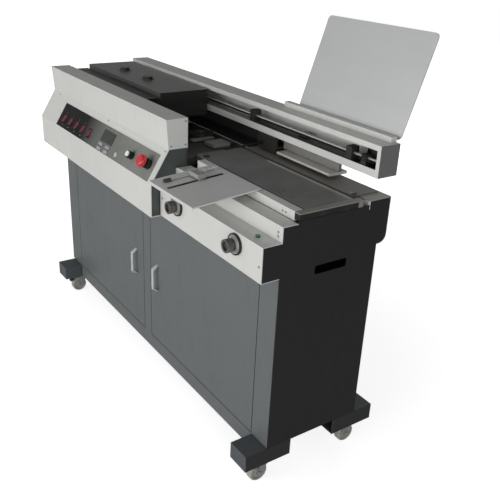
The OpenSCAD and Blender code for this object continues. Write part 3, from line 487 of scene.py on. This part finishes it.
def rectangle(width, height, x=0.0, y=0.0):
    """A rectangle's corners, centred on x, y."""
    return [
        (x - width / 2, y - height / 2),
        (x + width / 2, y - height / 2),
        (x + width / 2, y + height / 2),
        (x - width / 2, y + height / 2),
    ]


# ---------------------------------------------------------------- paint

WHITE = srgb(210, 210, 206)
STATION_BLACK = srgb(40, 39, 38)
WHITE_COAT = {"roughness": 0.42, "grain": 0.35, "soil_and_corner_shade": 0.3}


def head_paint():
    """White, but the folded rear edge has the colour of the plates that close the ends."""
    hem, cap = 5 * MM, 90 * MM
    folded = {"Y": (high("head_cover", 1) - hem, None), "Z": (None, high("head_cover", 2) - cap)}
    return powder_coat("head_paint", WHITE, **WHITE_COAT, tones=[(folded, srgb(52, 57, 56))])


def beam_paint():
    """White; inside the channel at the belt's end it has painted shade, near black, and a grey cap closes the
    beam.
    """
    belt_end, inside = 112 * MM, BEAM_WALL - FACE
    # Painted shade, near black, inside the channel at the belt's end.
    channel = {
        "X": (X_BEAM_END - belt_end, X_BEAM_END - inside),
        "Y": (Y_BEAM + BEAM_WALL, None),
        "Z": (Z_BEAM + inside, Z_BEAM_TOP - inside),
    }
    cap = {"X": (X_BEAM_END - FACE, None)}
    tones = [(channel, srgb(20, 20, 20)), (cap, srgb(106, 106, 105))]
    return powder_coat("beam_paint", WHITE, roughness=0.42, grain=0.35, soil_and_corner_shade=0.5, tones=tones)


def foot_paint():
    """Grey tube, with painted shade on the side that faces right."""
    # Painted shade: the side that faces right is darker.
    side = {"X": (high("feet", 0) - FACE, None)}
    tones = [(side, srgb(34, 34, 35))]
    return powder_coat("foot_paint", srgb(76, 81, 84), 0.42, grain=0.6, soil_and_corner_shade=0.5, edge=1.5 * MM, tones=tones)


def hood_paint():
    """Dark hood, rubbed on top, with a black end, black knobs and a black tray below."""
    end, knob_tall, tray = 1 * MM, 9 * MM, 60 * MM
    tones = [
        ({"X": (high("hood", 0) - end, None)}, srgb(31, 31, 30)),
        ({"Z": (high("hood", 2) - knob_tall, None)}, srgb(16, 16, 16)),
        ({"Z": (None, high("hood", 2) - tray)}, STATION_BLACK),
    ]
    return powder_coat("hood_paint", srgb(88, 87, 84), roughness=0.32, grain=0.6, soil_and_corner_shade=0.5, tones=tones)


def plate_paint():
    """Green grey on the two end plates, black on the rails and on the wall behind the stations."""
    plate = 8 * MM
    rails = {"X": (X_HEAD_LEFT + plate, X_HEAD_RIGHT - plate)}
    wall = {"Y": (0, None)}
    tones = [(rails, srgb(38, 37, 35)), (wall, srgb(62, 62, 60))]
    return powder_coat("plate_paint", srgb(73, 80, 78), roughness=0.42, grain=0.5, soil_and_corner_shade=0.4, tones=tones)


def bar_paint():
    """White on the bar in front of the nipping table, grey on the one behind it."""
    behind = {"Y": (Y_DOORS + 100 * MM, None)}
    return powder_coat("bar_paint", WHITE, **WHITE_COAT, tones=[(behind, srgb(86, 85, 82))])


def cover_coat():
    """Pale cover table, with painted shade, near black, along the slot that the stop moves in."""
    stop_middle, half_slot, front_end, rear_end = 6 * MM, 6.2 * MM, 13 * MM, 20 * MM
    x = high("cover_stop", 0) - stop_middle
    # Painted shade: a near black strip along the slot.
    painted_slot_shade = {
        "X": (x - half_slot, x + half_slot),
        "Y": (low("cover_table", 1) + front_end, high("cover_table", 1) - rear_end),
    }
    tones = [(painted_slot_shade, srgb(26, 26, 26))]
    return powder_coat("cover_coat", srgb(204, 204, 202), roughness=0.40, grain=0.3, soil_and_corner_shade=0.5, tones=tones)


def rear_paint():
    """White; the ledge under the beam has painted shade, near black, along the stations, and is bare at the
    right end.
    """
    ledge, bare = 2 * MM, 92 * MM
    # Painted shade under the beam: the ledge is near black along the stations.
    top = (high("rear_cover", 2) - ledge, None)
    tones = [({"Z": top}, srgb(30, 30, 29)), ({"Z": top, "X": (X_RIGHT - bare, None)}, srgb(160, 158, 151))]
    return powder_coat("rear_paint", WHITE, **WHITE_COAT, tones=tones)


def carriage_coat():
    """Dark carriage, with bare hangers below the beam."""
    hangers = {"X": (low("clamp_jaw", 0) + 2 * MM, None), "Z": (None, Z_BEAM)}
    tones = [(hangers, srgb(128, 126, 121))]
    return powder_coat("carriage_coat", srgb(44, 44, 43), roughness=0.45, grain=0.3, soil_and_corner_shade=0.3, tones=tones)


def table_coat():
    """Nipping table with a painted sheen, brightest at its left end, and a painted highlight along its back.
    """
    strip, strip_start = 13 * MM, 150 * MM
    # Painted highlight: a bright strip along the back edge.
    bright = {"Y": (Y_TABLE_BACK - strip, None), "X": (X_TABLE_LEFT + strip_start, None)}
    tones = [(bright, srgb(176, 174, 168))]
    return worn_table("table_coat", srgb(112, 112, 111), 0.36, tones, painted_sheen_span=(X_TABLE_LEFT, X_TABLE_RIGHT))


def deck_coat():
    """Station deck with painted shade: near black by the stations, turning grey towards the nipping table."""
    deck = Finish("deck_coat", Specular_IOR_Level=0.4)
    peel = deck.noise(1.2 * MM, 2.0)
    patches = deck.noise(60 * MM, 4.0)
    shade_fade_length, rim, rear_wall = 360 * MM, 15 * MM, 8 * MM
    past_table = X_TABLE_RIGHT + FACE
    # Painted shade: near black by the stations, fading to grey towards the nipping table.
    along = (deck.axis("X") - (X_DECK_END - shade_fade_length)) / shade_fade_length
    tint = deck.blend(deck.steps(along, (0.55, 0), (1, 1)), srgb(27, 27, 26), srgb(92, 90, 87))
    tint = deck.tinted(
        tint,
        [
            # By the stations the raised edges are rubbed bare, and what lies behind them has painted shade,
            # near black
            ({"X": (None, X_DECK_END), "Z": (high("station_deck", 2) - rim, None)}, srgb(140, 138, 134)),
            ({"X": (None, X_DECK_END - 10 * MM), "Y": (Y_TABLE_BACK - rear_wall, None)}, srgb(27, 27, 26)),
            # The sheet round the nipping table and the end bar are bare, with painted shade, near black, in
            # the gap between
            ({"X": (X_DECK_END + 5 * MM, None)}, srgb(122, 119, 113)),
            ({"X": (past_table, None), "Y": (None, Y_TABLE_BACK + 16 * MM)}, srgb(132, 130, 124)),
            (
                {"X": (past_table, None), "Y": (None, Y_TABLE_BACK), "Z": (None, Z_TABLE - 3 * MM)},
                srgb(24, 24, 24),
            ),
        ],
    )
    tint = deck.blend(deck.steps(patches, (0.5, 0), (0.8, 0.35)), tint, srgb(96, 95, 92))
    # Painted shade: darker in tight inner corners.
    tint = deck.blend(deck.corner() * 0.6, tint, srgb(12, 12, 12))
    deck.set(
        Base_Color=tint,
        Roughness=0.44 - 0.12 * (patches - 0.5),
        Normal=deck.relief(peel, 0.05 * MM, 0.5),
    )
    return deck.material


white_paint = powder_coat("white_paint", WHITE, **WHITE_COAT)
grey_paint = powder_coat("grey_paint", srgb(100, 104, 104), 0.38, grain=0.6, soil_and_corner_shade=0.5, edge=1.2 * MM)
dark_paint = powder_coat("dark_paint", srgb(20, 20, 21), roughness=0.55, grain=0.5, soil_and_corner_shade=0.3)
stop_paint = powder_coat("stop_paint", srgb(158, 158, 156), roughness=0.4, grain=0.3, soil_and_corner_shade=0.4)


# ---------------------------------------------------------------- bare metal

ALONG_X, ALONG_Y, ALONG_Z = (0.02, 1, 1), (1, 0.02, 1), (1, 1, 0.02)
FINE_ALONG_X = (0.01, 1, 1)


def jaw_steel():
    """Bare jaw, with painted light that makes its front face brightest."""
    # Painted light: the front face is lighter.
    front = {"Y": (None, low("clamp_jaw", 1) + 1.2 * MM)}
    tones = [(front, srgb(220, 218, 210))]
    return brushed("jaw_steel", srgb(214, 212, 204), ALONG_X, streak=0.06, metallic=0.35, tones=tones)


def underside_shaded_rod():
    """Guide rod: bright above, with painted shade on its lower side."""
    # Painted shade: the lower side of the rod is dark.
    shaded_underside = {"Z": (None, high("guide_rod", 2) - 4 * MM)}
    tones = [(shaded_underside, srgb(64, 63, 61))]
    return brushed("underside_shaded_rod", srgb(236, 236, 234), FINE_ALONG_X, 0.2, 0.03, 0.7, cloud=0, tones=tones)


def knob_distance(part):
    """Distance from the axis of the nearer knob: both lie on one height, mirrored about their middle."""
    left, right = middle("left_knob"), middle("right_knob")
    off_side = abs(part.axis("X") - (left.x + right.x) / 2) - (right.x - left.x) / 2
    off_height = part.axis("Z") - left.z
    return (off_side * off_side + off_height * off_height) ** 0.5


def knob_steel():
    """Machined knob with dark grip marks round it, and a black disc of painted shade for the bore in its end.
    """
    bore_radius, bore_depth = 10.5 * MM, 1.5 * MM
    knob = Finish("knob_steel", Metallic=0.6)
    grain = knob.noise(1.2 * MM, 3.0, stretch=(1, 0.05, 1))
    wear = knob.noise(10 * MM, 3.0)
    # Painted shade: a black disc stands for the bore in the knob's end.
    bore_shade = knob.within(Y=(None, low("left_knob", 1) + bore_depth)) * (knob_distance(knob) < bore_radius)
    tint = knob.blend(knob.steps(grain, (0.35, 0), (0.65, 1)), srgb(84, 83, 80), srgb(126, 125, 121))
    tint = knob.blend(knob.steps(wear, (0.5, 0), (0.8, 0.5)), tint, srgb(58, 57, 55))
    # Painted shade: darker in tight inner corners.
    tint = knob.blend(knob.corner() * 0.6, tint, srgb(18, 18, 18))
    knob.set(
        Base_Color=knob.blend(bore_shade, tint, srgb(14, 14, 14)),
        Roughness=0.34 + 0.2 * (wear - 0.5),
        Normal=knob.relief(grain, 0.06 * MM, 0.6, 0.6 * MM),
    )
    return knob.material


def bush_zinc():
    """Zinc flange with fine turning marks, and a black rubber ring round its rim."""
    ring_radius, marks_per_metre = 24.8 * MM, 900
    bush = Finish("bush_zinc")
    radius = knob_distance(bush)
    turned = bush.steps((radius * marks_per_metre) % 1.0, (0.2, 0), (0.8, 1))
    cloud = bush.noise(20 * MM, 3.0)
    rim = radius > ring_radius
    tint = bush.blend(turned, srgb(182, 183, 182), srgb(214, 215, 213))
    tint = bush.blend(bush.steps(cloud, (0.4, 0), (0.8, 0.5)), tint, srgb(120, 120, 118))
    # Painted shade: darker in tight inner corners.
    tint = bush.blend(bush.corner() * 0.7, tint, srgb(30, 30, 30))
    bush.set(
        Base_Color=bush.blend(rim, tint, srgb(20, 20, 20)),
        Metallic=bush.steps(rim, (0.4, 0.55), (0.6, 0)),
        Roughness=0.4 + 0.1 * cloud,
        Normal=bush.relief(cloud, 0.02 * MM, 0.4, 0.6 * MM),
    )
    return bush.material


support_sheet = brushed("support_sheet", srgb(206, 207, 206), ALONG_X, streak=0.03, metallic=0.55, cloud=0.03)
zinc = brushed("zinc", srgb(164, 165, 164), (1, 0.3, 1))
bright_rod = brushed("bright_rod", srgb(232, 232, 230), FINE_ALONG_X, 0.22, streak=0.03, cloud=0)
handle_chrome = brushed("handle_chrome", srgb(226, 227, 226), ALONG_Z, 0.26, 0.06, 0.5, cloud=0.02)
roller_steel = brushed("roller_steel", srgb(96, 96, 94), ALONG_Y, 0.32, 0.08, 0.7)
tank_metal = brushed("tank_metal", srgb(70, 69, 66), (0.2, 0.2, 1), 0.5, 0.12)
cutter_steel = brushed("cutter_steel", srgb(92, 92, 90), (1, 1, 1), 0.34, 0.06, 0.7)


# ---------------------------------------------------------------- plastic and film


def panel_film():
    """Membrane film: black under the rockers, turning grey towards the right."""
    film = Finish("panel_film", Specular_IOR_Level=0.2)
    left, right = low("control_panel", 0), high("control_panel", 0)
    part = (film.axis("X") - left) / (right - left)
    fade = film.steps(part, (0.30, 0), (0.45, 0.55), (0.80, 1))
    weave = film.noise(0.7 * MM, 2.0)
    handled = film.noise(20 * MM, 3.0)
    tint = film.blend(fade, srgb(11, 11, 13), srgb(130, 131, 126))
    tint = film.blend(film.steps(handled, (0.4, 0), (0.8, 0.3)) * fade, tint, srgb(96, 97, 93))
    # Painted shade: darker in tight inner corners.
    tint = film.blend(film.corner() * 0.4, tint, srgb(14, 14, 14))
    film.set(
        Base_Color=tint,
        Roughness=0.5 + 0.16 * (handled - 0.5),
        Normal=film.relief(weave, 0.02 * MM, 0.5, 0.5 * MM),
    )
    return film.material


def display_window():
    """Tinted window at the left, and the pale lens of the pilot lamp at the right."""
    window = Finish("display_window", Specular_IOR_Level=0.4, Coat_Weight=0.1, Coat_Roughness=0.1)
    lamp = window.axis("X") > (low("panel_windows", 0) + 100 * MM)
    cloud = window.noise(15 * MM, 2.0)
    glass = window.blend(window.steps(cloud, (0.3, 0), (0.8, 1)), srgb(42, 45, 36), srgb(56, 59, 49))
    window.set(
        Base_Color=window.blend(lamp, glass, srgb(176, 196, 182)),
        Roughness=0.16 + 0.1 * cloud,
        Normal=window.relief(cloud, 0.02 * MM, 0.2, 0.4 * MM),
    )
    return window.material


black_plastic = moulded("black_plastic", srgb(20, 20, 21), 0.42)
grip_plastic = moulded("grip_plastic", srgb(66, 66, 64), 0.5)
red_cap = moulded("red_cap", srgb(196, 40, 44), 0.30, coat=0.3)
red_rocker = moulded("red_rocker", srgb(100, 5, 30), 0.34)
white_cap = moulded("white_cap", srgb(240, 240, 238), 0.28, coat=0.2)
key_plastic = moulded("key_plastic", srgb(158, 161, 168), 0.45)
green_cap = moulded("green_cap", srgb(24, 92, 56), 0.28, coat=0.4)
wheel_grey = moulded("wheel_grey", srgb(162, 161, 155), 0.50, texture=0.6 * MM, depth=0.05 * MM)
belt_black = moulded("belt_black", srgb(20, 20, 20), 0.7, texture=0.8 * MM, depth=0.1 * MM)
legend_white = moulded("legend_white", srgb(186, 187, 184), 0.5)
panel_line = moulded("panel_line", srgb(146, 147, 142), 0.5)
web_grey = moulded("web_grey", srgb(128, 126, 121), 0.5)


# ---------------------------------------------------------------- which part wears what

FINISH_OF = {
    "feet": foot_paint(),
    "frame_rails": grey_paint,
    "castor_plates": zinc,
    "floor_panel": grey_paint,
    "frame_posts": grey_paint,
    "left_end_panel": dark_paint,
    "right_end_panel": dark_paint,
    "back_panel": grey_paint,
    "rear_cover": rear_paint(),
    "left_door": grey_paint,
    "right_door": grey_paint,
    "left_door_handle": handle_chrome,
    "right_door_handle": handle_chrome,
    "front_fascia": white_paint,
    "head_cover": head_paint(),
    "head_plates": plate_paint(),
    "control_panel": panel_film(),
    "panel_windows": display_window(),
    "start_button": white_cap,
    "stop_button": red_cap,
    "button_barrels": black_plastic,
    "left_knob": knob_steel(),
    "right_knob": knob_steel(),
    "knob_bushes": bush_zinc(),
    "ledge_button": green_cap,
    "cover_table": cover_coat(),
    "cover_stop": stop_paint,
    "nip_table": table_coat(),
    "nip_bars": bar_paint(),
    "beam_housing": beam_paint(),
    "guide_rod": underside_shaded_rod(),
    "carriage": carriage_coat(),
    "clamp_jaw": jaw_steel(),
    "drive_belt": belt_black,
    "left_pulley": black_plastic,
    "right_pulley": black_plastic,
    "sheet_support": support_sheet,
    "hood": hood_paint(),
    "station_deck": deck_coat(),
    "glue_tank": tank_metal,
    "glue_roller": roller_steel,
    "milling_cutter": cutter_steel,
    "mains_inlet": black_plastic,
    **{"castor_fork_" + corner: zinc for corner in CORNERS},
    **{"castor_wheel_" + corner: wheel_grey for corner in CORNERS},
    **{rocker: red_rocker for rocker in ROCKERS},
    **{key: key_plastic for key in KEYS},
}

for node, finish in FINISH_OF.items():
    nodes[node].data.materials.clear()
    nodes[node].data.materials.append(finish)


# ---------------------------------------------------------------- screws


def cross_recess(part):
    """Outline of a cross recess round one turn: full at four arms, narrow between them."""
    arm = (part * 4) % 1
    return 1.0 if min(arm, 1 - arm) < 0.14 else 0.36


def screws(name, places, radius=3.4 * MM, height=1.7 * MM):
    """Zinc pan-head screws with a cross recess, all in one piece on the cabinet."""
    r, h = radius, height
    head = [(r, 0), (r, 0.35 * h), (0.86 * r, 0.8 * h), (0.66 * r, h)]
    recess = [(0.56 * r, h, 1), (0.5 * r, 0.35 * h, 1), (0, 0.3 * h)]
    shape = Shape()
    for place in places:
        shape.turned(head + recess, place, 32, cross_recess)
    shape.done(name, zinc, "cabinet", "zinc_plate", angle=30)


def add_cabinet_screws():
    """Two screws in the white front and two in the post beside it."""
    front_edge, post_edge = X_RIGHT - 12 * MM, X_RIGHT - 17 * MM
    spots = [
        ((front_edge, Y_FASCIA, Z_LEDGE - 55 * MM), 0.4),
        ((X_HEAD_RIGHT + 14 * MM, Y_FASCIA, Z_LEDGE - 40 * MM), 0.9),
        ((post_edge, Y_DOORS, Z_LEDGE + 24 * MM), 0.2),
        ((post_edge, Y_DOORS, Z_LEDGE + 13 * MM), 1.0),
    ]
    screws("cabinet_screws", [facing(spot, FRONT, turn) for spot, turn in spots])


def add_head_screws():
    """Three screws in the right end of the head, and three along the top of its slope."""
    y_cap = Y_HEAD + SLOPE_RUN
    end_spots = [(8, 106, 0.3), (56, 106, 0.8), (56, 176, 0.1)]
    end = [facing((X_HEAD_RIGHT, y_cap + y * MM, Z_SLOPE + z * MM), RIGHT, turn) for y, z, turn in end_spots]
    slope_spots = [
        (X_HEAD_RIGHT - 412 * MM, 105),
        (X_HEAD_RIGHT - 12 * MM, 104),
        (X_HEAD_LEFT + 70 * MM, 105),
    ]
    screws("head_screws", end + [on_slope(x, s) for x, s in slope_spots], 2.8 * MM)


def add_back_screws():
    """Three rows of four screws over the back panel."""
    left, right = low("back_panel", 0), high("back_panel", 0)
    y = high("back_panel", 1)
    places = [
        facing((left + share * (right - left), y, z * MM), BACK, share * 7)
        for share in (0.02, 0.34, 0.66, 0.98)
        for z in (150, 400, 665)
    ]
    screws("back_screws", places)


def add_bar_screws():
    """Two screws in the right end of the bar in front of the nipping table."""
    y, z = low("nip_bars", 1), high("nip_bars", 2) - 14 * MM
    places = [facing((X_TABLE_RIGHT - inwards * MM, y, z), FRONT, inwards / 10) for inwards in (34, 48)]
    screws("bar_screws", places, 2.6 * MM)


add_cabinet_screws()
add_head_screws()


# ---------------------------------------------------------------- control panel

# Millimetres: the film's thickness, a rocker's opening and its height up the slope
FILM = 1.5
ROCKER_W, ROCKER_H, ROCKER_S = 20, 30, 35
PRINT = 0.12


def add_frame(shape, width, height, rim, depth, place):
    """A rectangular frame round an opening of width by height, in millimetres."""
    for side in (-1, 1):
        upright = rectangle(rim * MM, (height + 2 * rim) * MM, side * (width + rim) / 2 * MM)
        level = rectangle(width * MM, rim * MM, 0, side * (height + rim) / 2 * MM)
        shape.slab(upright, depth * MM, place)
        shape.slab(level, depth * MM, place)


def add_ring(shape, radius, width, place, steps=40):
    """A flat printed ring outside radius, in millimetres."""
    profile = [(radius, 0), (radius, PRINT), (radius + width, PRINT), (radius + width, 0)]
    shape.turned([(r * MM, h * MM) for r, h in profile], place, steps)


def add_dash(shape, width, height, place):
    """A printed dash of width by height, in millimetres."""
    shape.slab(rectangle(width * MM, height * MM), PRINT * MM, place)


def dress_panel():
    """Bezels and on and off marks of the rockers, and the printed lines of the film."""
    bezels, marks, lines = Shape(), Shape(), Shape()
    play, mark_off = 1.4, 23
    for rocker in ROCKERS:
        x = middle(rocker).x
        add_frame(bezels, ROCKER_W + play, ROCKER_H + play, 1.6, 1.0, on_slope(x, ROCKER_S, FILM))
        add_dash(marks, 0.9, 4.2, on_slope(x, ROCKER_S + mark_off, FILM))
        add_ring(marks, 1.5, 0.8, on_slope(x, ROCKER_S - mark_off, FILM), 20)
    for key in KEYS:
        x, s = seat_of(key)
        add_dash(marks, 7, 0.9, on_slope(x, s - 8.6, FILM))
    for button, radius in (("start_button", 17.5), ("stop_button", 27)):
        x, s = seat_of(button)
        add_ring(lines, radius, 1.2, on_slope(x, s, FILM))
    window_x = low("panel_windows", 0) + 40 * MM
    window_s = seat_of(KEYS[0])[1] + 30
    add_frame(bezels, 84, 36, 1.2, 0.6, on_slope(window_x, window_s, FILM))
    add_frame(lines, 96, 78, 0.9, PRINT, on_slope(window_x, 43, FILM))
    bezels.done("rocker_bezels", black_plastic, "cabinet", "black_plastic", 0.3 * MM)
    marks.done("panel_marks", legend_white, "cabinet", "panel_film")
    lines.done("panel_lines", panel_line, "cabinet", "panel_film")


dress_panel()


# ---------------------------------------------------------------- door handles


def door_handle(door):
    """A bow handle of flat bar, its two legs slanting down to the door."""
    node = door + "_handle"
    out, tall = high(node, 1) - low(node, 1), high(node, 2) - low(node, 2)
    slant, bar = 13 * MM, 4.5 * MM
    leg = 1.6 * bar
    bow = [
        (0, 0),
        (slant, out),
        (tall - slant, out),
        (tall, 0),
        (tall - leg, 0),
        (tall - slant - bar, out - bar),
        (slant + bar, out - bar),
        (leg, 0),
    ]
    foot = Matrix.Translation((low(node, 0), high(node, 1), low(node, 2)))
    upright = Matrix((UP, FRONT, RIGHT)).transposed().to_4x4()
    shape = Shape().slab(bow, high(node, 0) - low(node, 0), foot @ upright)
    piece = shape.done(door + "_bow_handle", handle_chrome, door, "chrome_rod", 0.9 * MM)
    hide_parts(node)


for door in ("left_door", "right_door"):
    door_handle(door)


# ---------------------------------------------------------------- castors


def axle_nuts(corner):
    """The two hexagon nuts on the axle of one castor, which swivel with its fork."""
    across, tall, stand_off = 9.5 * MM, 3 * MM, 4.2 * MM
    radius = across / 2 / math.cos(math.pi / 6)
    profile = [
        (0, 0),
        (radius, 0),
        (radius, tall),
        (0.8 * radius, 1.2 * tall),
        (0.5 * radius, 1.2 * tall),
        (0, tall),
    ]
    wheel = "castor_wheel_" + corner
    reach = (high(wheel, 0) - low(wheel, 0)) / 2 + stand_off
    nuts = Shape()
    for direction in (RIGHT, LEFT):
        nuts.turned(profile, facing(middle(wheel) + Vector(direction) * reach, direction), 6)
    nuts.done("axle_nuts_" + corner, zinc, "castor_fork_" + corner, "zinc_plate", 0.3 * MM, 20)


def brake_pedal(corner):
    """The sloping pedal behind one castor's wheel, on the side away from the kingpin."""
    wheel, fork = "castor_wheel_" + corner, "castor_fork_" + corner
    axle = middle(wheel)
    away = 1 if axle.y > middle(fork).y else -1
    near, far = axle.y + away * 22 * MM, axle.y + away * 38 * MM
    top, drop, thick = high(fork, 2) - 10 * MM, 9 * MM, 4 * MM
    side_view = [(near, top - thick), (near, top), (far, top - drop), (far, top - drop - thick)]
    width = high(wheel, 0) - low(wheel, 0) - 4 * MM
    turned_right = Matrix(((0, 0, 1), (1, 0, 0), (0, 1, 0))).to_4x4()
    pedal = Shape().slab(side_view, width, Matrix.Translation((axle.x - width / 2, 0, 0)) @ turned_right)
    pedal.done("brake_pedal_" + corner, black_plastic, fork, "zinc_plate", 0.8 * MM)


for corner in CORNERS:
    axle_nuts(corner)
    brake_pedal(corner)


# ---------------------------------------------------------------- clamp carriage and tables


def jaw_web():
    """The jaw's folded web closes the gap under the beam, in front of the hangers."""
    y_hangers, thick, clear = Y_BEAM + 27 * MM, 2 * MM, 0.2 * MM
    web = Shape().block(
        (low("clamp_jaw", 0) - 15 * MM, y_hangers - clear - thick, high("clamp_jaw", 2) + 1.2 * MM),
        (high("clamp_jaw", 0) - 1 * MM, y_hangers - clear, Z_BEAM - 0.8 * MM),
    )
    web.done("jaw_web", web_grey, "carriage", "grey_paint", 0.4 * MM)


def clamp_lever():
    """A thin black lever that reaches forward from the carriage's plate, with a knob behind."""
    back, front = at(214, 112.6, 850), at(233, -39, 850)
    knob = [(0, 0), (5 * MM, 0), (6 * MM, 3 * MM), (5 * MM, 9 * MM), (0, 10 * MM)]
    lever = Shape().sweep([back, front], 2.6 * MM).turned(knob, facing(back, FRONT), 24)
    lever.done("clamp_lever", black_plastic, "carriage", "black_plastic", angle=50)


def table_eye():
    """A round eye of wire that lies at the left end of the nipping table."""
    centre = at(215, -92, 831)
    loop = [centre + offset for offset in circle(8 * MM, 28)]
    eye = Shape().sweep(loop, 1.3 * MM, closed=True)
    eye.done("table_eye", black_plastic, "nip_table", "black_plastic", angle=60)


def setting_rod():
    """The rod that lies over the cover table, and the dark grip at its front end."""
    y_front, y_rear = low("cover_table", 1), high("cover_table", 1)
    x = low("cover_table", 0) + 38 * MM
    table_fall = math.tan(math.radians(5))

    def over_table(y):
        return Vector((x, y, Z_TABLE + 8.5 * MM - (y_rear - y) * table_fall))

    start, end = over_table(y_front + 46 * MM), over_table(y_rear - 58 * MM)
    rod = Shape().sweep([start, end], 2.4 * MM, 16)
    rod.done("setting_rod", bright_rod, "cabinet", "chrome_rod", angle=50)
    radius, length, chamfer = 6.5 * MM, 21.5 * MM, 1.5 * MM
    profile = [
        (0, 0),
        (radius - 1 * MM, 0),
        (radius, chamfer),
        (radius, length - chamfer),
        (radius - 1 * MM, length),
        (0, length),
    ]
    grip = Shape().turned(profile, facing(start, (0, -1, -table_fall)), 32)
    grip.done("setting_rod_grip", grip_plastic, "cabinet", "black_plastic", 0.5 * MM)


jaw_web()
clamp_lever()
table_eye()
setting_rod()
add_back_screws()
add_bar_screws()


# ---------------------------------------------------------------- stage, lights and camera


def make_floor():
    """Pale floor that the camera sees as white, apart from the machine's soft shadow."""
    half_width, glow_reach = 9.0, 5.0
    grid = bmesh.new()
    bmesh.ops.create_grid(grid, x_segments=8, y_segments=8, size=half_width)
    mesh = bpy.data.meshes.new("studio_floor")
    grid.to_mesh(mesh)
    grid.free()
    floor = bpy.data.objects.new("studio_floor", mesh)
    bpy.context.scene.collection.objects.link(floor)
    paint = Finish("studio_floor", Roughness=0.9, Specular_IOR_Level=0.1, Emission_Strength=1.0)
    seen = paint.add("ShaderNodeLightPath", output="Is Camera Ray")
    x, y = paint.axis("X"), paint.axis("Y")
    far = paint.steps((x * x + y * y) ** 0.5 / glow_reach, (0.15, 0.72), (0.5, 1))
    paint.set(
        Base_Color=paint.blend(paint.noise(600 * MM, 2.0), (0.80, 0.80, 0.80), (0.84, 0.84, 0.84)),
        Emission_Color=far * seen,
    )
    mesh.materials.append(paint.material)


def make_world():
    """White backdrop for the camera, and a room that is brighter in front than overhead and behind."""
    world = bpy.data.worlds.new("studio")
    bpy.context.scene.world = world
    world.use_nodes = True
    room = Nodes(world.node_tree)
    room.tree.nodes.clear()
    direction = room.add("ShaderNodeTexCoord", output="Generated")
    ahead = 0.5 - 0.5 * room.split(direction, "Y")
    overhead = room.steps(room.split(direction, "Z"), (0.0, 1), (1.0, 0.35))
    strength = (0.16 + 0.52 * ahead) * overhead
    lit = room.add("ShaderNodeBackground", {}, {"Color": (0.98, 0.99, 1), "Strength": strength})
    white = room.add("ShaderNodeBackground", {}, {"Color": (1, 1, 1), "Strength": 1.0})
    camera_ray = room.add("ShaderNodeLightPath", output="Is Camera Ray")
    through = room.add("ShaderNodeLightPath", output="Is Transmission Ray")
    mixed = room.add("ShaderNodeMixShader", {}, {0: camera_ray + through, 1: lit, 2: white})
    room.add("ShaderNodeOutputWorld", {}, {"Surface": mixed})


def soft_lamp(name, place, aim, size, power):
    """A large soft lamp at place, turned towards aim."""
    light = bpy.data.lights.new(name, "AREA")
    light.shape = "RECTANGLE"
    light.size, light.size_y = size
    light.energy = power
    lamp = bpy.data.objects.new(name, light)
    bpy.context.scene.collection.objects.link(lamp)
    lamp.location = place
    lamp.rotation_euler = (Vector(place) - Vector(aim)).to_track_quat("Z", "Y").to_euler()


def make_camera():
    """Camera at the photograph's place: its right, up and forward directions in the machine's frame."""
    place = at(1900.2, -1129.1, 1427.4)
    right, up, forward = (
        (0.56189, 0.82605, 0.04396),
        (-0.36549, 0.20025, 0.90903),
        (-0.74209, 0.52684, -0.41443),
    )
    view = bpy.data.cameras.new("photo_camera")
    view.sensor_width = 36
    view.lens = 49.137
    view.shift_x = 0.00916
    view.shift_y = 0.0004
    camera = bpy.data.objects.new("photo_camera", view)
    turn = Matrix((right, up, [-part for part in forward])).transposed().to_4x4()
    camera.matrix_world = Matrix.Translation(place) @ turn
    bpy.context.scene.collection.objects.link(camera)
    bpy.context.scene.camera = camera


make_floor()
make_world()
soft_lamp("front_lamp", place=(0.2, -4.2, 1.1), aim=(0, 0, 0.6), size=(4.5, 1.8), power=95)
soft_lamp("right_lamp", place=(4.4, -1.6, 1.3), aim=(0.2, 0, 0.7), size=(2.6, 2.0), power=48)
soft_lamp("back_lamp", place=(-1.2, 4.4, 1.4), aim=(0, 0, 0.5), size=(4.0, 1.6), power=24)
make_camera()
bpy.context.scene.view_settings.view_transform = "Standard"
